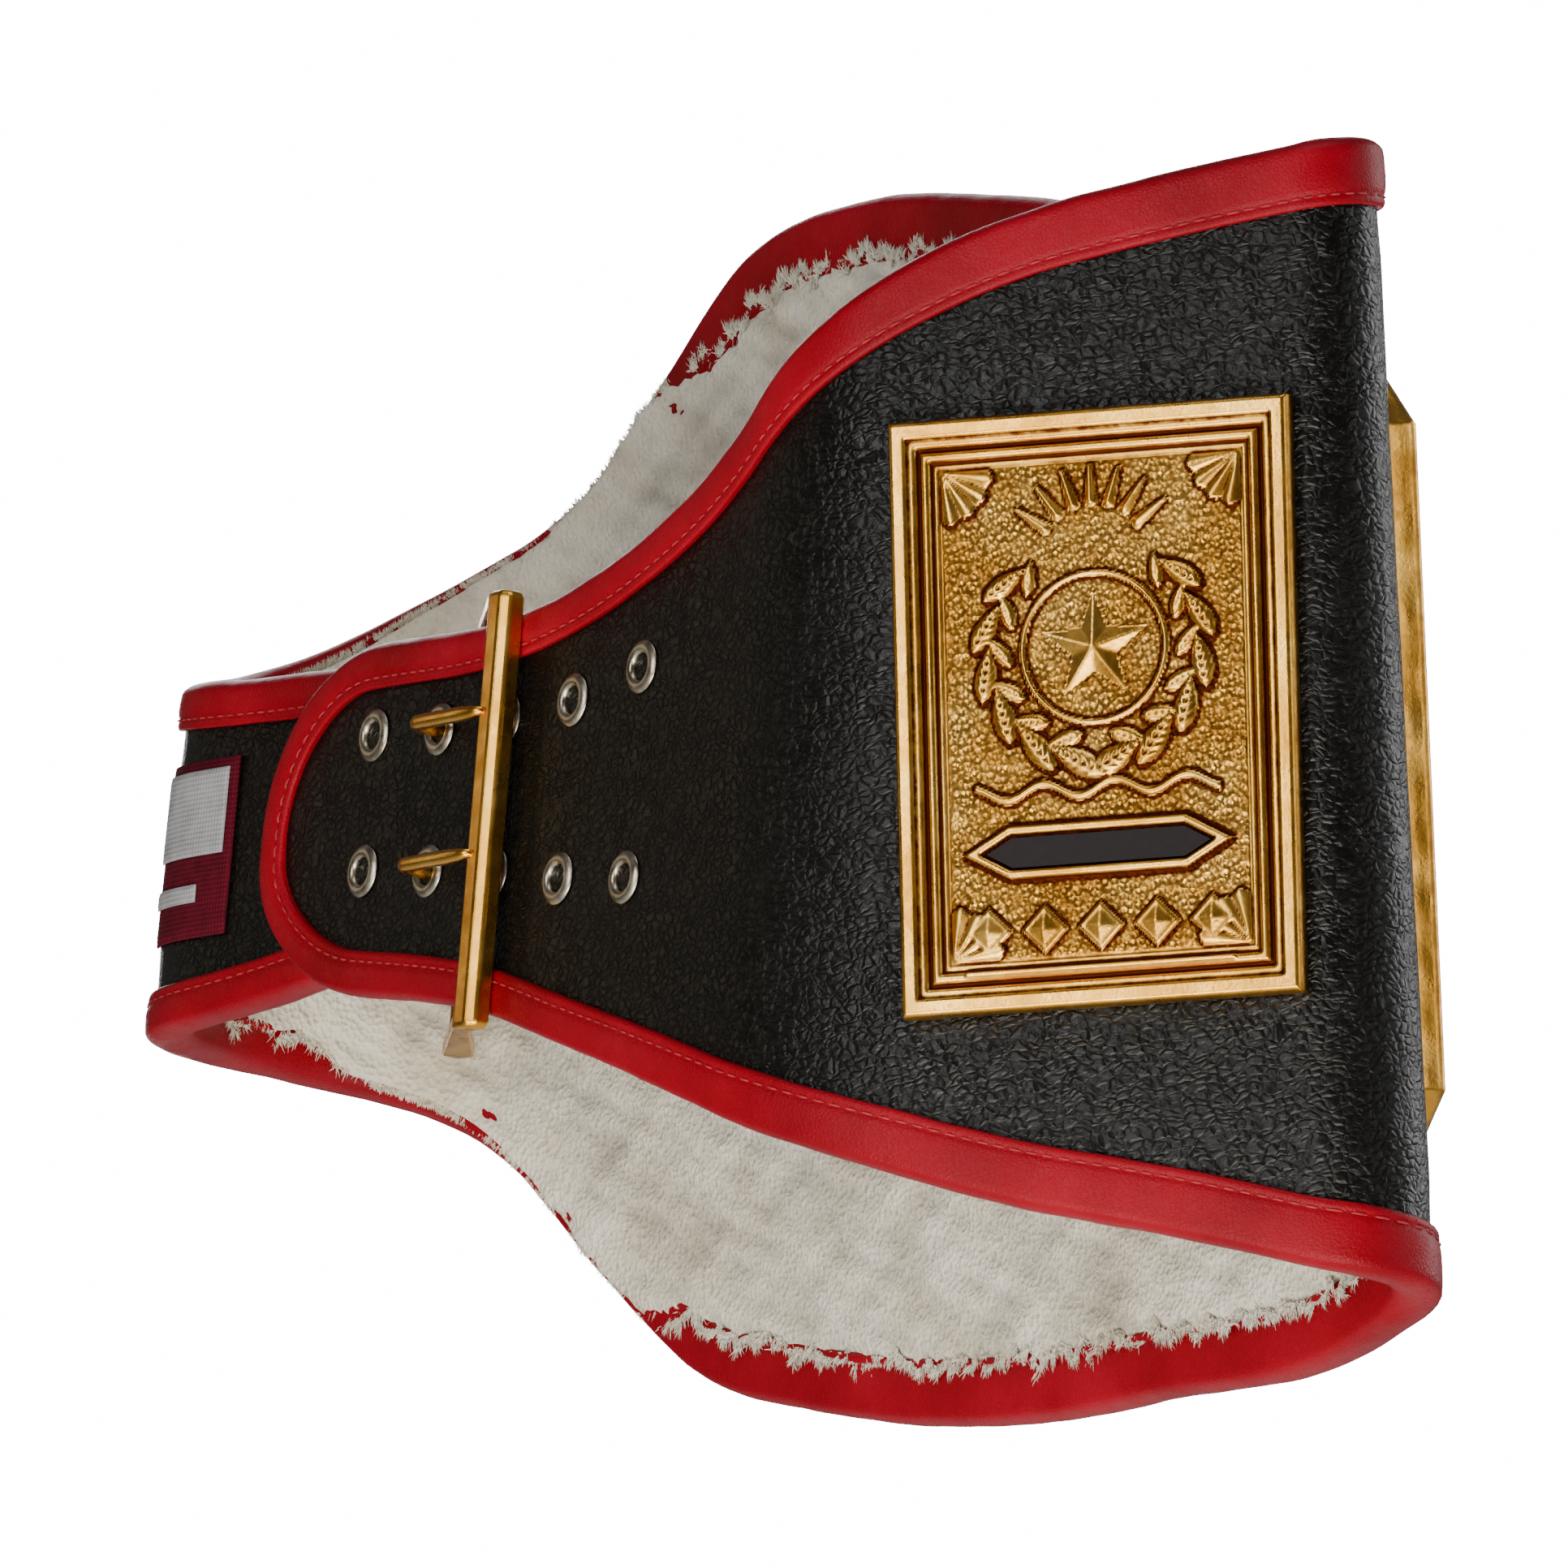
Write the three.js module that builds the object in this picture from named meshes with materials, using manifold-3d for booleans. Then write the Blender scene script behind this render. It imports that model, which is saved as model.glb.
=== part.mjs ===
// Championship title belt in its worn form: a padded leather strap closed into a loop by a wide
// two-prong buckle at the back, a thick cast plate at the front and a smaller one on each side.
// Millimetres, +Z up. The front plate faces -Y, and the origin is the middle of the waist opening.
import * as THREE from 'three';
import { mergeVertices } from 'three/addons/utils/BufferGeometryUtils.js';
import Module from 'manifold-3d';

const wasm = await Module();
wasm.setup();

// Loop and outline
const loopLength = 1000;
const frontRise = 129;
const frontDrop = 153;
const strapRise = 39.5;
const strapDrop = 33.5;
const tailPast = 3;
const tailCornerLength = 44;
const tailCornerTop = 40;
const tailCornerBottom = 28;
const strapCorner = 12;
const backLean = 8.5;
const stationStep = 18;

// Layers of the strap, from the outside in
const leatherThickness = 3;
const fleeceThickness = 6;
const layerGap = 0.3;
const bindingThickness = 1.5;
const strapBindingLeg = 9;
const frontBindingLeg = 14;
const bindingBulge = 2.6;
const bindingCover = 1.2;

// Cast plates
const plateSeat = 0.3;
const sidePlateWidth = 100;
const sidePlateHeight = 143;
const sidePlateSlab = 3.4;
const sidePlateLift = 2;
const mainPlateWidth = 186;
const mainPlateHeight = 192;
const mainPlateSlab = 9.5;
const mainPlateCorner = 16;
const mainPlateLift = -11;
const frameBand = 6;
const frameHeight = 2.4;
const innerBand = 2.4;
const reliefHeight = 2;
const bossHeight = 1.8;
const inlayThickness = 0.8;

// Eyelets, in two rows along the tail
const eyeletRadius = 6.6;
const eyeletHole = 3.4;
const eyeletBarrel = 0.6;
const eyeletRim = 1.2;
const eyeletPitch = 30;
const eyeletColumns = 5;
const eyeletFromEnd = 46;
const prongColumn = 1;
const barColumn = 2;
const eyeletRowShares = [0.25, 0.655];

// Buckle
const barWidth = 9;
const barBehindColumn = 3;
const barThickness = 6;
const frameOverhang = 4;
const armThickness = 4;
const hingeRadius = 2.6;
const hingeBehindProng = 5;
const prongRadius = 1.9;
const prongTip = 4;
const chapeThickness = 1.3;
const chapeLength = 26;
const clearance = 0.4;

// Woven label on the strap, behind the tail's end
const labelLength = 40;
const labelHeight = 44;
const labelFromTail = 37;
const labelLift = 2;
const labelThickness = 0.9;
const labelBorder = 2.5;

// The loop seen from above, from the front's middle round the tail's side and back along the
// buckle's side: each row is a share of the loop's length and a share of the full turn.
const planRows = [
  { stretch: 'front, tail side', length: 0.095, turn: 0 },
  { stretch: 'fold beside the front', length: 0.045, turn: 0.3887 },
  { stretch: 'side plate', length: 0.1, turn: 0 },
  { stretch: 'bend behind the side plate', length: 0.05, turn: 0.1054 },
  { stretch: 'back, along the overlap', length: 0.21, turn: 0 },
  { stretch: 'start of the round end', length: 0.0525, turn: 0.0351 },
  { stretch: 'round end, tail side', length: 0.0525, turn: 0.1245 },
  { stretch: 'round end, middle', length: 0.105, turn: 0.3043 },
  { stretch: 'end of the round end', length: 0.05, turn: 0.042 },
  { stretch: 'side plate and front, buckle side', length: 0.24, turn: 0 },
];
const sidePlateAlong = 0.19;

// Edges of the belt: along is the share of the way from the front's middle to the middle of the
// back; top and bottom are shares of the way from the strap's edge to the front's edge.
const tailRows = [
  { along: 0, top: 1, bottom: 1 },
  { along: 0.12, top: 1.02, bottom: 0.99 },
  { along: 0.24, top: 1.04, bottom: 0.87 },
  { along: 0.35, top: 0.97, bottom: 0.745 },
  { along: 0.44, top: 0.86, bottom: 0.65 },
  { along: 0.53, top: 0.63, bottom: 0.52 },
  { along: 0.63, top: 0.3, bottom: 0.36 },
  { along: 0.72, top: 0.1, bottom: 0.24 },
  { along: 0.81, top: 0.015, bottom: 0.13 },
  { along: 0.92, top: 0.015, bottom: 0.06 },
  { along: 1.02, top: 0, bottom: 0 },
  { along: 1.2, top: 0, bottom: 0 },
];
const buckleRows = [
  { along: 0, top: 1, bottom: 1 },
  { along: 0.12, top: 1.1, bottom: 1.01 },
  { along: 0.24, top: 1.17, bottom: 0.98 },
  { along: 0.35, top: 1.1, bottom: 0.91 },
  { along: 0.44, top: 0.8, bottom: 0.82 },
  { along: 0.53, top: 0.5, bottom: 0.59 },
  { along: 0.63, top: 0.3, bottom: 0.25 },
  { along: 0.72, top: 0.13, bottom: 0.12 },
  { along: 0.81, top: 0.05, bottom: 0.07 },
  { along: 0.92, top: 0.01, bottom: 0.04 },
  { along: 1.02, top: 0, bottom: 0 },
  { along: 1.2, top: 0, bottom: 0 },
];

// The lean towards the back, as a share of the full lean, on both sides of the front
const tailLean = [
  { along: 0.19, lean: 0 },
  { along: 0.28, lean: 0.38 },
  { along: 0.49, lean: 0.38 },
  { along: 0.65, lean: 1 },
];
const buckleLean = [
  { along: 0.49, lean: 0 },
  { along: 0.78, lean: 1 },
];

// Materials
const metalOf = (color, roughness) => new THREE.MeshStandardMaterial({ color, roughness, metalness: 1 });
const clothOf = (color, roughness) => new THREE.MeshStandardMaterial({ color, roughness, metalness: 0 });
const leather = clothOf(0x14120f, 0.5);
const redLeather = clothOf(0xc4071f, 0.45);
const fleece = clothOf(0xcfc9ba, 0.95);
const gold = metalOf(0xc8952f, 0.32);
const nickel = metalOf(0xa8a093, 0.35);
const enamel = clothOf(0x120d0c, 0.25);
const labelCloth = clothOf(0x6e1126, 0.85);
const labelPanel = clothOf(0xb9bcc0, 0.8);

const belt = new THREE.Group();
belt.name = 'title_belt';

// Plan of the loop: a closed chain of straight stretches and arcs. The small gap that is left
// at its end is shared out along it, and the middle of its box is the origin.
function advance(x, y, heading, length, turn) {
  if (Math.abs(turn) < 1e-9) {
    return [x + length * Math.cos(heading), y + length * Math.sin(heading)];
  }
  const radius = length / turn;
  return [
    x + radius * (Math.sin(heading + turn) - Math.sin(heading)),
    y - radius * (Math.cos(heading + turn) - Math.cos(heading)),
  ];
}

function makePlan() {
  const lengths = planRows.reduce((sum, row) => sum + row.length, 0);
  const turns = planRows.reduce((sum, row) => sum + row.turn, 0);
  const legs = [];
  let x = 0;
  let y = 0;
  let heading = Math.PI;
  let start = 0;
  for (const row of planRows) {
    const length = (row.length / lengths) * loopLength;
    const turn = (-row.turn / turns) * 2 * Math.PI;
    legs.push({ x, y, heading, start, length, turn });
    [x, y] = advance(x, y, heading, length, turn);
    heading += turn;
    start += length;
  }
  const gap = { x, y };
  const raw = (along) => {
    const s = ((along % loopLength) + loopLength) % loopLength;
    const leg = legs.findLast((candidate) => candidate.start <= s);
    const part = (s - leg.start) / leg.length;
    const [px, py] = advance(leg.x, leg.y, leg.heading, leg.length * part, leg.turn * part);
    const angle = leg.heading + leg.turn * part;
    const share = s / loopLength;
    const run = new THREE.Vector2(Math.cos(angle) - gap.x / loopLength, Math.sin(angle) - gap.y / loopLength);
    run.normalize();
    return { x: px - gap.x * share, y: py - gap.y * share, outX: -run.y, outY: run.x };
  };
  const box = new THREE.Box2();
  for (let s = 0; s < loopLength; s += loopLength / 360) {
    const point = raw(s);
    box.expandByPoint(new THREE.Vector2(point.x, point.y));
  }
  const middle = box.getCenter(new THREE.Vector2());
  return {
    legs,
    at: (along) => {
      const point = raw(along);
      return { ...point, x: point.x - middle.x, y: point.y - middle.y };
    },
  };
}

const plan = makePlan();

// Positions along the strap, called w: 0 is the front's middle, positive runs to the tail's end
// and negative to the buckle. The tail lies over the strap's other end, at the back.
const bodyThickness = leatherThickness + layerGap + fleeceThickness;
const bindingOut = layerGap + bindingThickness;
const bindingIn = bodyThickness + bindingOut;
const tailEnd = loopLength / 2 + tailPast;
const eyeletAt = (column) => tailEnd - eyeletFromEnd - column * eyeletPitch;
const barAt = eyeletAt(barColumn) - barBehindColumn;
const hingeAt = eyeletAt(prongColumn) + hingeBehindProng;
const chapeReach = hingeRadius + clearance + chapeThickness;
const strapSink = bindingIn + clearance + chapeThickness + clearance + bindingOut;
const hingeDepth = bindingIn + clearance + chapeReach;
const buckleEnd = hingeAt + chapeReach + clearance + bindingBulge - loopLength;

// Smooth curve through a table's rows: Hermite pieces with slopes from the neighbours.
function smooth(rows, column, along) {
  const last = rows.length - 1;
  const i = Math.min(last - 1, Math.max(0, rows.findIndex((row) => row.along > along) - 1));
  const slope = (k) => {
    const a = rows[Math.max(0, k - 1)];
    const b = rows[Math.min(last, k + 1)];
    return (b[column] - a[column]) / (b.along - a.along);
  };
  const from = rows[i];
  const to = rows[i + 1];
  const span = to.along - from.along;
  const t = Math.min(1, Math.max(0, (along - from.along) / span));
  return (
    (2 * t ** 3 - 3 * t ** 2 + 1) * from[column] +
    (t ** 3 - 2 * t ** 2 + t) * span * (i === 0 ? 0 : slope(i)) +
    (3 * t ** 2 - 2 * t ** 3) * to[column] +
    (t ** 3 - t ** 2) * span * slope(i + 1)
  );
}

const shareAt = (w, column) => smooth(w < 0 ? buckleRows : tailRows, column, (2 * Math.abs(w)) / loopLength);

// The strap's other end sinks under the tail and comes back up beyond the tail's end.
const strapRamp = 0.085 * loopLength;
function sinkAt(w) {
  if (w >= 0) return 0;
  const past = w + loopLength - tailEnd;
  const t = THREE.MathUtils.clamp(past / strapRamp, 0, 1);
  return strapSink * (1 - t * t * (3 - 2 * t));
}

// Takes a place on the laid-out strap to the worn loop: w along it, z up, out from the leather's
// face. The back leans in towards its top.
const leanTangent = Math.tan(THREE.MathUtils.degToRad(backLean));
function leanAt(w) {
  const rows = w < 0 ? buckleLean : tailLean;
  const along = (2 * Math.abs(w)) / loopLength;
  const after = rows.findIndex((row) => row.along > along);
  if (after === 0) return 0;
  if (after < 0) return leanTangent;
  const from = rows[after - 1];
  const to = rows[after];
  return leanTangent * THREE.MathUtils.lerp(from.lean, to.lean, THREE.MathUtils.smoothstep(along, from.along, to.along));
}

function worn(w, z, out) {
  const point = plan.at(w);
  const offset = out - sinkAt(w) - z * leanAt(w);
  return new THREE.Vector3(point.x + point.outX * offset, point.y + point.outY * offset, z);
}

// Rounded corners: how far an edge has dropped at a distance from the strap's end.
function cornerDrop(fromEnd, length, height) {
  if (fromEnd >= length) return 0;
  return height * (1 - Math.sqrt(Math.max(0, 1 - ((length - fromEnd) / length) ** 2)));
}

function edgeTop(w) {
  const z = strapRise + (frontRise - strapRise) * shareAt(w, 'top');
  const tail = cornerDrop(tailEnd - w, tailCornerLength, tailCornerTop);
  return z - tail - cornerDrop(w - buckleEnd, strapCorner, strapCorner);
}

function edgeBottom(w) {
  const z = -strapDrop - (frontDrop - strapDrop) * shareAt(w, 'bottom');
  const tail = cornerDrop(tailEnd - w, tailCornerLength, tailCornerBottom);
  return z + tail + cornerDrop(w - buckleEnd, strapCorner, strapCorner);
}

// Stations along the strap: closer together where the loop bends and at the round ends.
function makeStations() {
  const marks = [];
  for (const leg of plan.legs) {
    const bend = Math.ceil(Math.abs(leg.turn) / THREE.MathUtils.degToRad(11));
    const count = Math.max(bend, Math.ceil(leg.length / stationStep));
    for (let i = 0; i < count; i += 1) {
      const s = leg.start + (leg.length * i) / count;
      marks.push(s, s - loopLength);
    }
  }
  const from = buckleEnd + strapCorner;
  const to = tailEnd - tailCornerLength;
  const inside = marks.filter((w) => w > from + stationStep / 3 && w < to - stationStep / 3);
  const rounded = (count) => [...Array(count + 1).keys()].map((i) => Math.cos((Math.PI / 2) * (i / count)));
  const start = rounded(3).map((share) => buckleEnd + strapCorner * (1 - share));
  const end = rounded(7).map((share) => tailEnd - tailCornerLength * (1 - share));
  return [...start, ...inside.sort((a, b) => a - b), ...end.reverse()];
}

const stations = makeStations();

// The outline as a closed run of places on the laid-out strap, with the direction out of it.
function makeOutline() {
  const top = stations.map((w) => new THREE.Vector2(w, edgeTop(w)));
  const bottom = stations.map((w) => new THREE.Vector2(w, edgeBottom(w)));
  const places = [...top, ...bottom.reverse()];
  return places.map((place, i) => {
    const before = places[(i + places.length - 1) % places.length];
    const after = places[(i + 1) % places.length];
    const along = after.clone().sub(before).normalize();
    return { place, out: new THREE.Vector2(-along.y, along.x), front: Math.max(0, shareAt(place.x, 'top')) };
  });
}

const outline = makeOutline();

// Closed body from rings of points, each joined to the next; loops back, or is capped. The two
// halves of a ring have their quads split in mirrored ways, so stacked layers keep their gap.
function ringsToGeometry(rings, closed) {
  const count = rings[0].length;
  const positions = rings.flat().flatMap((point) => point.toArray());
  const indices = [];
  const last = closed ? rings.length : rings.length - 1;
  for (let i = 0; i < last; i += 1) {
    const here = i * count;
    const next = ((i + 1) % rings.length) * count;
    for (let k = 0; k < count; k += 1) {
      const after = (k + 1) % count;
      if (k < count / 2 - 1) indices.push(here + k, next + k, next + after, here + k, next + after, here + after);
      else indices.push(here + k, next + k, here + after, next + k, next + after, here + after);
    }
  }
  if (!closed) {
    const tip = (rings.length - 1) * count;
    for (let k = 1; k < count - 1; k += 1) {
      indices.push(0, k, k + 1, tip, tip + k + 1, tip + k);
    }
  }
  const geometry = new THREE.BufferGeometry();
  geometry.setAttribute('position', new THREE.Float32BufferAttribute(positions, 3));
  geometry.setIndex(indices);
  return facingOut(geometry);
}

function facingOut(geometry) {
  const position = geometry.getAttribute('position');
  const index = geometry.getIndex();
  const corner = (i) => new THREE.Vector3().fromBufferAttribute(position, index.getX(i));
  let volume = 0;
  for (let i = 0; i < index.count; i += 3) {
    volume += corner(i).dot(corner(i + 1).cross(corner(i + 2)));
  }
  if (volume < 0) {
    const flipped = [];
    for (let i = 0; i < index.count; i += 3) {
      flipped.push(index.getX(i), index.getX(i + 2), index.getX(i + 1));
    }
    geometry.setIndex(flipped);
  }
  return geometry;
}

// Solids for cuts and joins
function toSolid(geometry) {
  const bare = geometry.clone();
  bare.deleteAttribute('normal');
  bare.deleteAttribute('uv');
  const merged = mergeVertices(bare, 1e-4);
  return new wasm.Manifold(
    new wasm.Mesh({
      numProp: 3,
      vertProperties: new Float32Array(merged.getAttribute('position').array),
      triVerts: new Uint32Array(merged.getIndex().array),
    }),
  );
}

function toGeometry(solid) {
  const { vertProperties, triVerts } = solid.getMesh();
  const geometry = new THREE.BufferGeometry();
  geometry.setAttribute('position', new THREE.BufferAttribute(new Float32Array(vertProperties), 3));
  geometry.setIndex(new THREE.BufferAttribute(new Uint32Array(triVerts), 1));
  return geometry;
}

const join = (geometries) => geometries.map(toSolid).reduce((sum, solid) => sum.add(solid));

function addPiece(name, geometry, material, parent = belt) {
  const flat = geometry.index ? geometry.toNonIndexed() : geometry;
  flat.computeVertexNormals();
  const mesh = new THREE.Mesh(flat, material);
  mesh.name = name;
  parent.add(mesh);
  return mesh;
}

// A layer of the strap between two depths. Its edges are set in from the outline, and it has
// another row of points by the end of the binding's leg, so both follow the same surface.
function layer(outerFace, innerFace) {
  const rings = [];
  for (let i = 0; i < outline.length / 2; i += 1) {
    const top = outline[i];
    const bottom = outline[outline.length - 1 - i];
    const inward = ({ place, out }, inset) => place.clone().addScaledVector(out, -inset);
    const edge = bindingCover + layerGap;
    const face = [
      inward(top, edge), inward(top, legAt(top)),
      inward(bottom, legAt(bottom)), inward(bottom, edge),
    ];
    rings.push([
      ...face.map((point) => worn(point.x, point.y, outerFace)),
      ...face.reverse().map((point) => worn(point.x, point.y, innerFace)),
    ]);
  }
  return ringsToGeometry(rings, false);
}

// The binding's legs are wider where the belt is taller.
function legAt({ front }) {
  return strapBindingLeg + (frontBindingLeg - strapBindingLeg) * Math.min(1, front);
}

// A frame that stands on the leather: x to the right as seen from outside, y up, z outward.
function seat(w, z, out, name) {
  const group = new THREE.Group();
  const right = worn(w - 1, z, out).sub(worn(w + 1, z, out)).normalize();
  const rise = worn(w, z + 1, out).sub(worn(w, z - 1, out));
  const outward = right.clone().cross(rise).normalize();
  const up = outward.clone().cross(right);
  group.quaternion.setFromRotationMatrix(new THREE.Matrix4().makeBasis(right, up, outward));
  group.position.copy(worn(w, z, out));
  group.name = name;
  belt.add(group);
  return group;
}

// Flat shapes
function outlineShape(points) {
  const shape = new THREE.Shape();
  shape.setFromPoints(points.map(([x, y]) => new THREE.Vector2(x, y)));
  return shape;
}

function boxOutline(width, height, corner) {
  const x = width / 2;
  const y = height / 2;
  return [
    [-x + corner, -y], [x - corner, -y], [x, -y + corner], [x, y - corner],
    [x - corner, y], [-x + corner, y], [-x, y - corner], [-x, -y + corner],
  ];
}

function slab(shape, depth, from, bevel = 0) {
  const geometry = new THREE.ExtrudeGeometry(shape, {
    depth: depth - 2 * bevel,
    bevelEnabled: bevel > 0,
    bevelThickness: bevel,
    bevelSize: bevel,
    bevelOffset: -bevel,
    bevelSegments: 1,
    curveSegments: 6,
  });
  return geometry.translate(0, 0, from + bevel);
}

function band(width, height, corner, thickness) {
  const shape = outlineShape(boxOutline(width, height, corner));
  const inner = boxOutline(width - 2 * thickness, height - 2 * thickness, Math.max(1, corner - 0.6 * thickness));
  shape.holes.push(outlineShape(inner));
  return shape;
}

// Raised motifs: a five-pointed star, a laurel leaf, a square boss and a ray, each a low pyramid
// sunk a little into the slab below it.
const sunk = 0.4;

function star(radius, height, x, y, from) {
  const points = [...Array(10).keys()].map((k) => {
    const reach = k % 2 === 0 ? radius : radius * 0.42;
    const angle = Math.PI / 2 + (k * Math.PI) / 5;
    return [x + reach * Math.cos(angle), y + reach * Math.sin(angle)];
  });
  return pyramid(points, x, y, height, from);
}

function pyramid(points, x, y, height, from) {
  const base = points.map(([px, py]) => new THREE.Vector3(px, py, from - sunk));
    const near = 0.04;
  const tip = points.map(([px, py]) => new THREE.Vector3(x + (px - x) * near, y + (py - y) * near, from + height));
  return ringsToGeometry([base, tip], false);
}

function leaf(length, width, height, x, y, angle, from) {
  const shares = [[-1, 0], [-0.3, -1], [0.45, -0.7], [1, 0], [0.45, 0.7], [-0.3, 1]];
  const points = shares.map(([along, across]) => {
    const px = (along * length) / 2;
    const py = (across * width) / 2;
    return [x + px * Math.cos(angle) - py * Math.sin(angle), y + px * Math.sin(angle) + py * Math.cos(angle)];
  });
  return pyramid(points, x, y, height, from);
}

// Wreath of leaves in pairs on both sides of a star, open at the top.
function wreath(radius, leaves, x, y, from) {
  const pieces = [];
  for (let k = 0; k < leaves; k += 1) {
    for (const side of [-1, 1]) {
      const angle = -Math.PI / 2 + side * (0.16 + (k * 2.45) / leaves);
      const lean = angle + side * (Math.PI / 2 + 0.35);
      const px = x + radius * Math.cos(angle);
      const py = y + radius * Math.sin(angle);
      const size = radius * (0.56 - 0.02 * k);
      pieces.push(leaf(size, size * 0.42, reliefHeight, px, py, lean, from));
    }
  }
  return pieces;
}

function bossRow(count, pitch, size, y, from) {
  return [...Array(count).keys()].map((k) => {
    const x = (k - (count - 1) / 2) * pitch;
    const points = [[x - size, y], [x, y - size], [x + size, y], [x, y + size]];
    return pyramid(points, x, y, bossHeight, from);
  });
}

function rays(count, inner, outer, x, y, spread, from) {
  return [...Array(count).keys()].map((k) => {
    const angle = Math.PI / 2 + spread * ((k + 0.5) / count - 0.5);
    const turn = (spread / count) * 0.3;
    const points = [
      [x + inner * Math.cos(angle - turn), y + inner * Math.sin(angle - turn)],
      [x + outer * Math.cos(angle - turn), y + outer * Math.sin(angle - turn)],
      [x + outer * Math.cos(angle + turn), y + outer * Math.sin(angle + turn)],
      [x + inner * Math.cos(angle + turn), y + inner * Math.sin(angle + turn)],
    ];
    const mid = (inner + outer) / 2;
    return pyramid(points, x + mid * Math.cos(angle), y + mid * Math.sin(angle), bossHeight * 0.7, from);
  });
}

// Lozenge panel of dark enamel, lying in a raised rim
function panelPoints(width, height) {
  const point = height * 0.9;
  return [
    [-width / 2, 0], [-width / 2 + point, -height / 2], [width / 2 - point, -height / 2],
    [width / 2, 0], [width / 2 - point, height / 2], [-width / 2 + point, height / 2],
  ];
}

const panelRim = 2;

function panelFrame(width, height, y, from) {
  const shape = outlineShape(panelPoints(width + 3.4 * panelRim, height + 2 * panelRim));
  shape.holes.push(outlineShape(panelPoints(width + 2 * clearance, height + 2 * clearance)));
  return slab(shape, frameHeight + sunk, from - sunk).translate(0, y, 0);
}

function addInlay(name, group, width, height, y, from) {
  const shape = outlineShape(panelPoints(width, height));
  addPiece(name, slab(shape, inlayThickness, from + layerGap).translate(0, y, 0), enamel, group);
}

// Side plate: slab, raised frames, wreath and star, a dark panel and a row of bosses
function addSidePlate(name, w) {
  const group = seat(w, sidePlateLift, plateSeat, `${name}_seat`);
  const width = sidePlateWidth;
  const height = sidePlateHeight;
  const top = sidePlateSlab;
  const inset = 2 * (frameBand + innerBand);
  const motif = (width - inset) / 2;
  const wreathY = height * 0.1;
  const panelY = -height * 0.235;
  const bossY = -height * 0.365;
  const pieces = [
    slab(outlineShape(boxOutline(width, height, 2)), top, 0, 0.8),
    slab(band(width - 1.6, height - 1.6, 2, frameBand), frameHeight + sunk, top - sunk, 0.6),
    slab(band(width - inset, height - inset, 2, innerBand), frameHeight * 0.6 + sunk, top - sunk),
    ...wreath(motif * 0.66, 6, 0, wreathY, top),
    star(motif * 0.36, reliefHeight * 1.15, 0, wreathY, top),
    ...rays(7, motif * 0.42, motif * 0.66, 0, wreathY + motif * 0.52, 2.2, top),
    panelFrame(width * 0.56, height * 0.05, panelY, top),
    ...bossRow(5, width * 0.14, width * 0.052, bossY, top),
  ];
  addPiece(name, toGeometry(join(pieces)), gold, group);
  addInlay(`${name}_inlay`, group, width * 0.56, height * 0.05, panelY, top);
}

// Front plate: a thick slab with clipped corners, the same motifs at a larger size
function addMainPlate() {
  const group = seat(0, mainPlateLift, plateSeat, 'main_plate_seat');
  const width = mainPlateWidth;
  const height = mainPlateHeight;
  const top = mainPlateSlab;
  const inset = 2 * (frameBand * 1.4 + innerBand);
  const centreY = height * 0.05;
  const panelY = -height * 0.33;
  const radius = width * 0.25;
  const pieces = [
    slab(outlineShape(boxOutline(width, height, mainPlateCorner)), top, 0, 1.2),
    slab(band(width - 2.4, height - 2.4, mainPlateCorner, frameBand * 1.2), frameHeight + sunk, top - sunk, 0.8),
    slab(band(width - inset, height - inset, mainPlateCorner - 4, innerBand), frameHeight * 0.6 + sunk, top - sunk),
    ...wreath(radius, 7, 0, centreY, top),
    star(radius * 0.55, reliefHeight * 1.15, 0, centreY, top),
    ...rays(9, radius * 1.28, radius * 1.62, 0, centreY, 2.6, top),
    panelFrame(width * 0.44, height * 0.055, panelY, top),
    ...bossRow(5, width * 0.1, width * 0.03, panelY - height * 0.075, top),
  ];
  addPiece('main_plate', toGeometry(join(pieces)), gold, group);
  addInlay('main_plate_inlay', group, width * 0.44, height * 0.055, panelY, top);
}

// Strap: leather face, fleece lining and the red edge binding
function eyeletPlaces() {
  const places = [];
  for (let column = 0; column < eyeletColumns; column += 1) {
    const w = eyeletAt(column);
    const rise = strapRise + (frontRise - strapRise) * shareAt(w, 'top');
    const drop = -strapDrop - (frontDrop - strapDrop) * shareAt(w, 'bottom');
    eyeletRowShares.forEach((share, row) => {
      places.push({ w, z: rise + (drop - rise) * share, column, row });
    });
  }
  return places;
}

const eyelets = eyeletPlaces();

function pierced(geometry, radius) {
  return eyelets.reduce((solid, { w, z }) => {
    const length = bodyThickness + 2 * bindingOut;
    const drill = new THREE.CylinderGeometry(radius, radius, length, 8).rotateX(Math.PI / 2);
    const holder = seat(w, z, 0, 'drill');
    holder.updateMatrix();
    belt.remove(holder);
    drill.translate(0, 0, -bodyThickness / 2).applyMatrix4(holder.matrix);
    return solid.subtract(toSolid(drill));
  }, toSolid(geometry));
}

function addStrap() {
  const face = layer(0, -leatherThickness);
  const lining = layer(-leatherThickness - layerGap, -bodyThickness);
  const bore = (eyeletHole + eyeletBarrel + layerGap) / Math.cos(Math.PI / 8);
  addPiece('strap_leather', toGeometry(pierced(face, bore)), leather);
  addPiece('fleece_lining', toGeometry(pierced(lining, bore)), fleece);
  addPiece('edge_binding', bindingGeometry(), redLeather);
}

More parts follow.
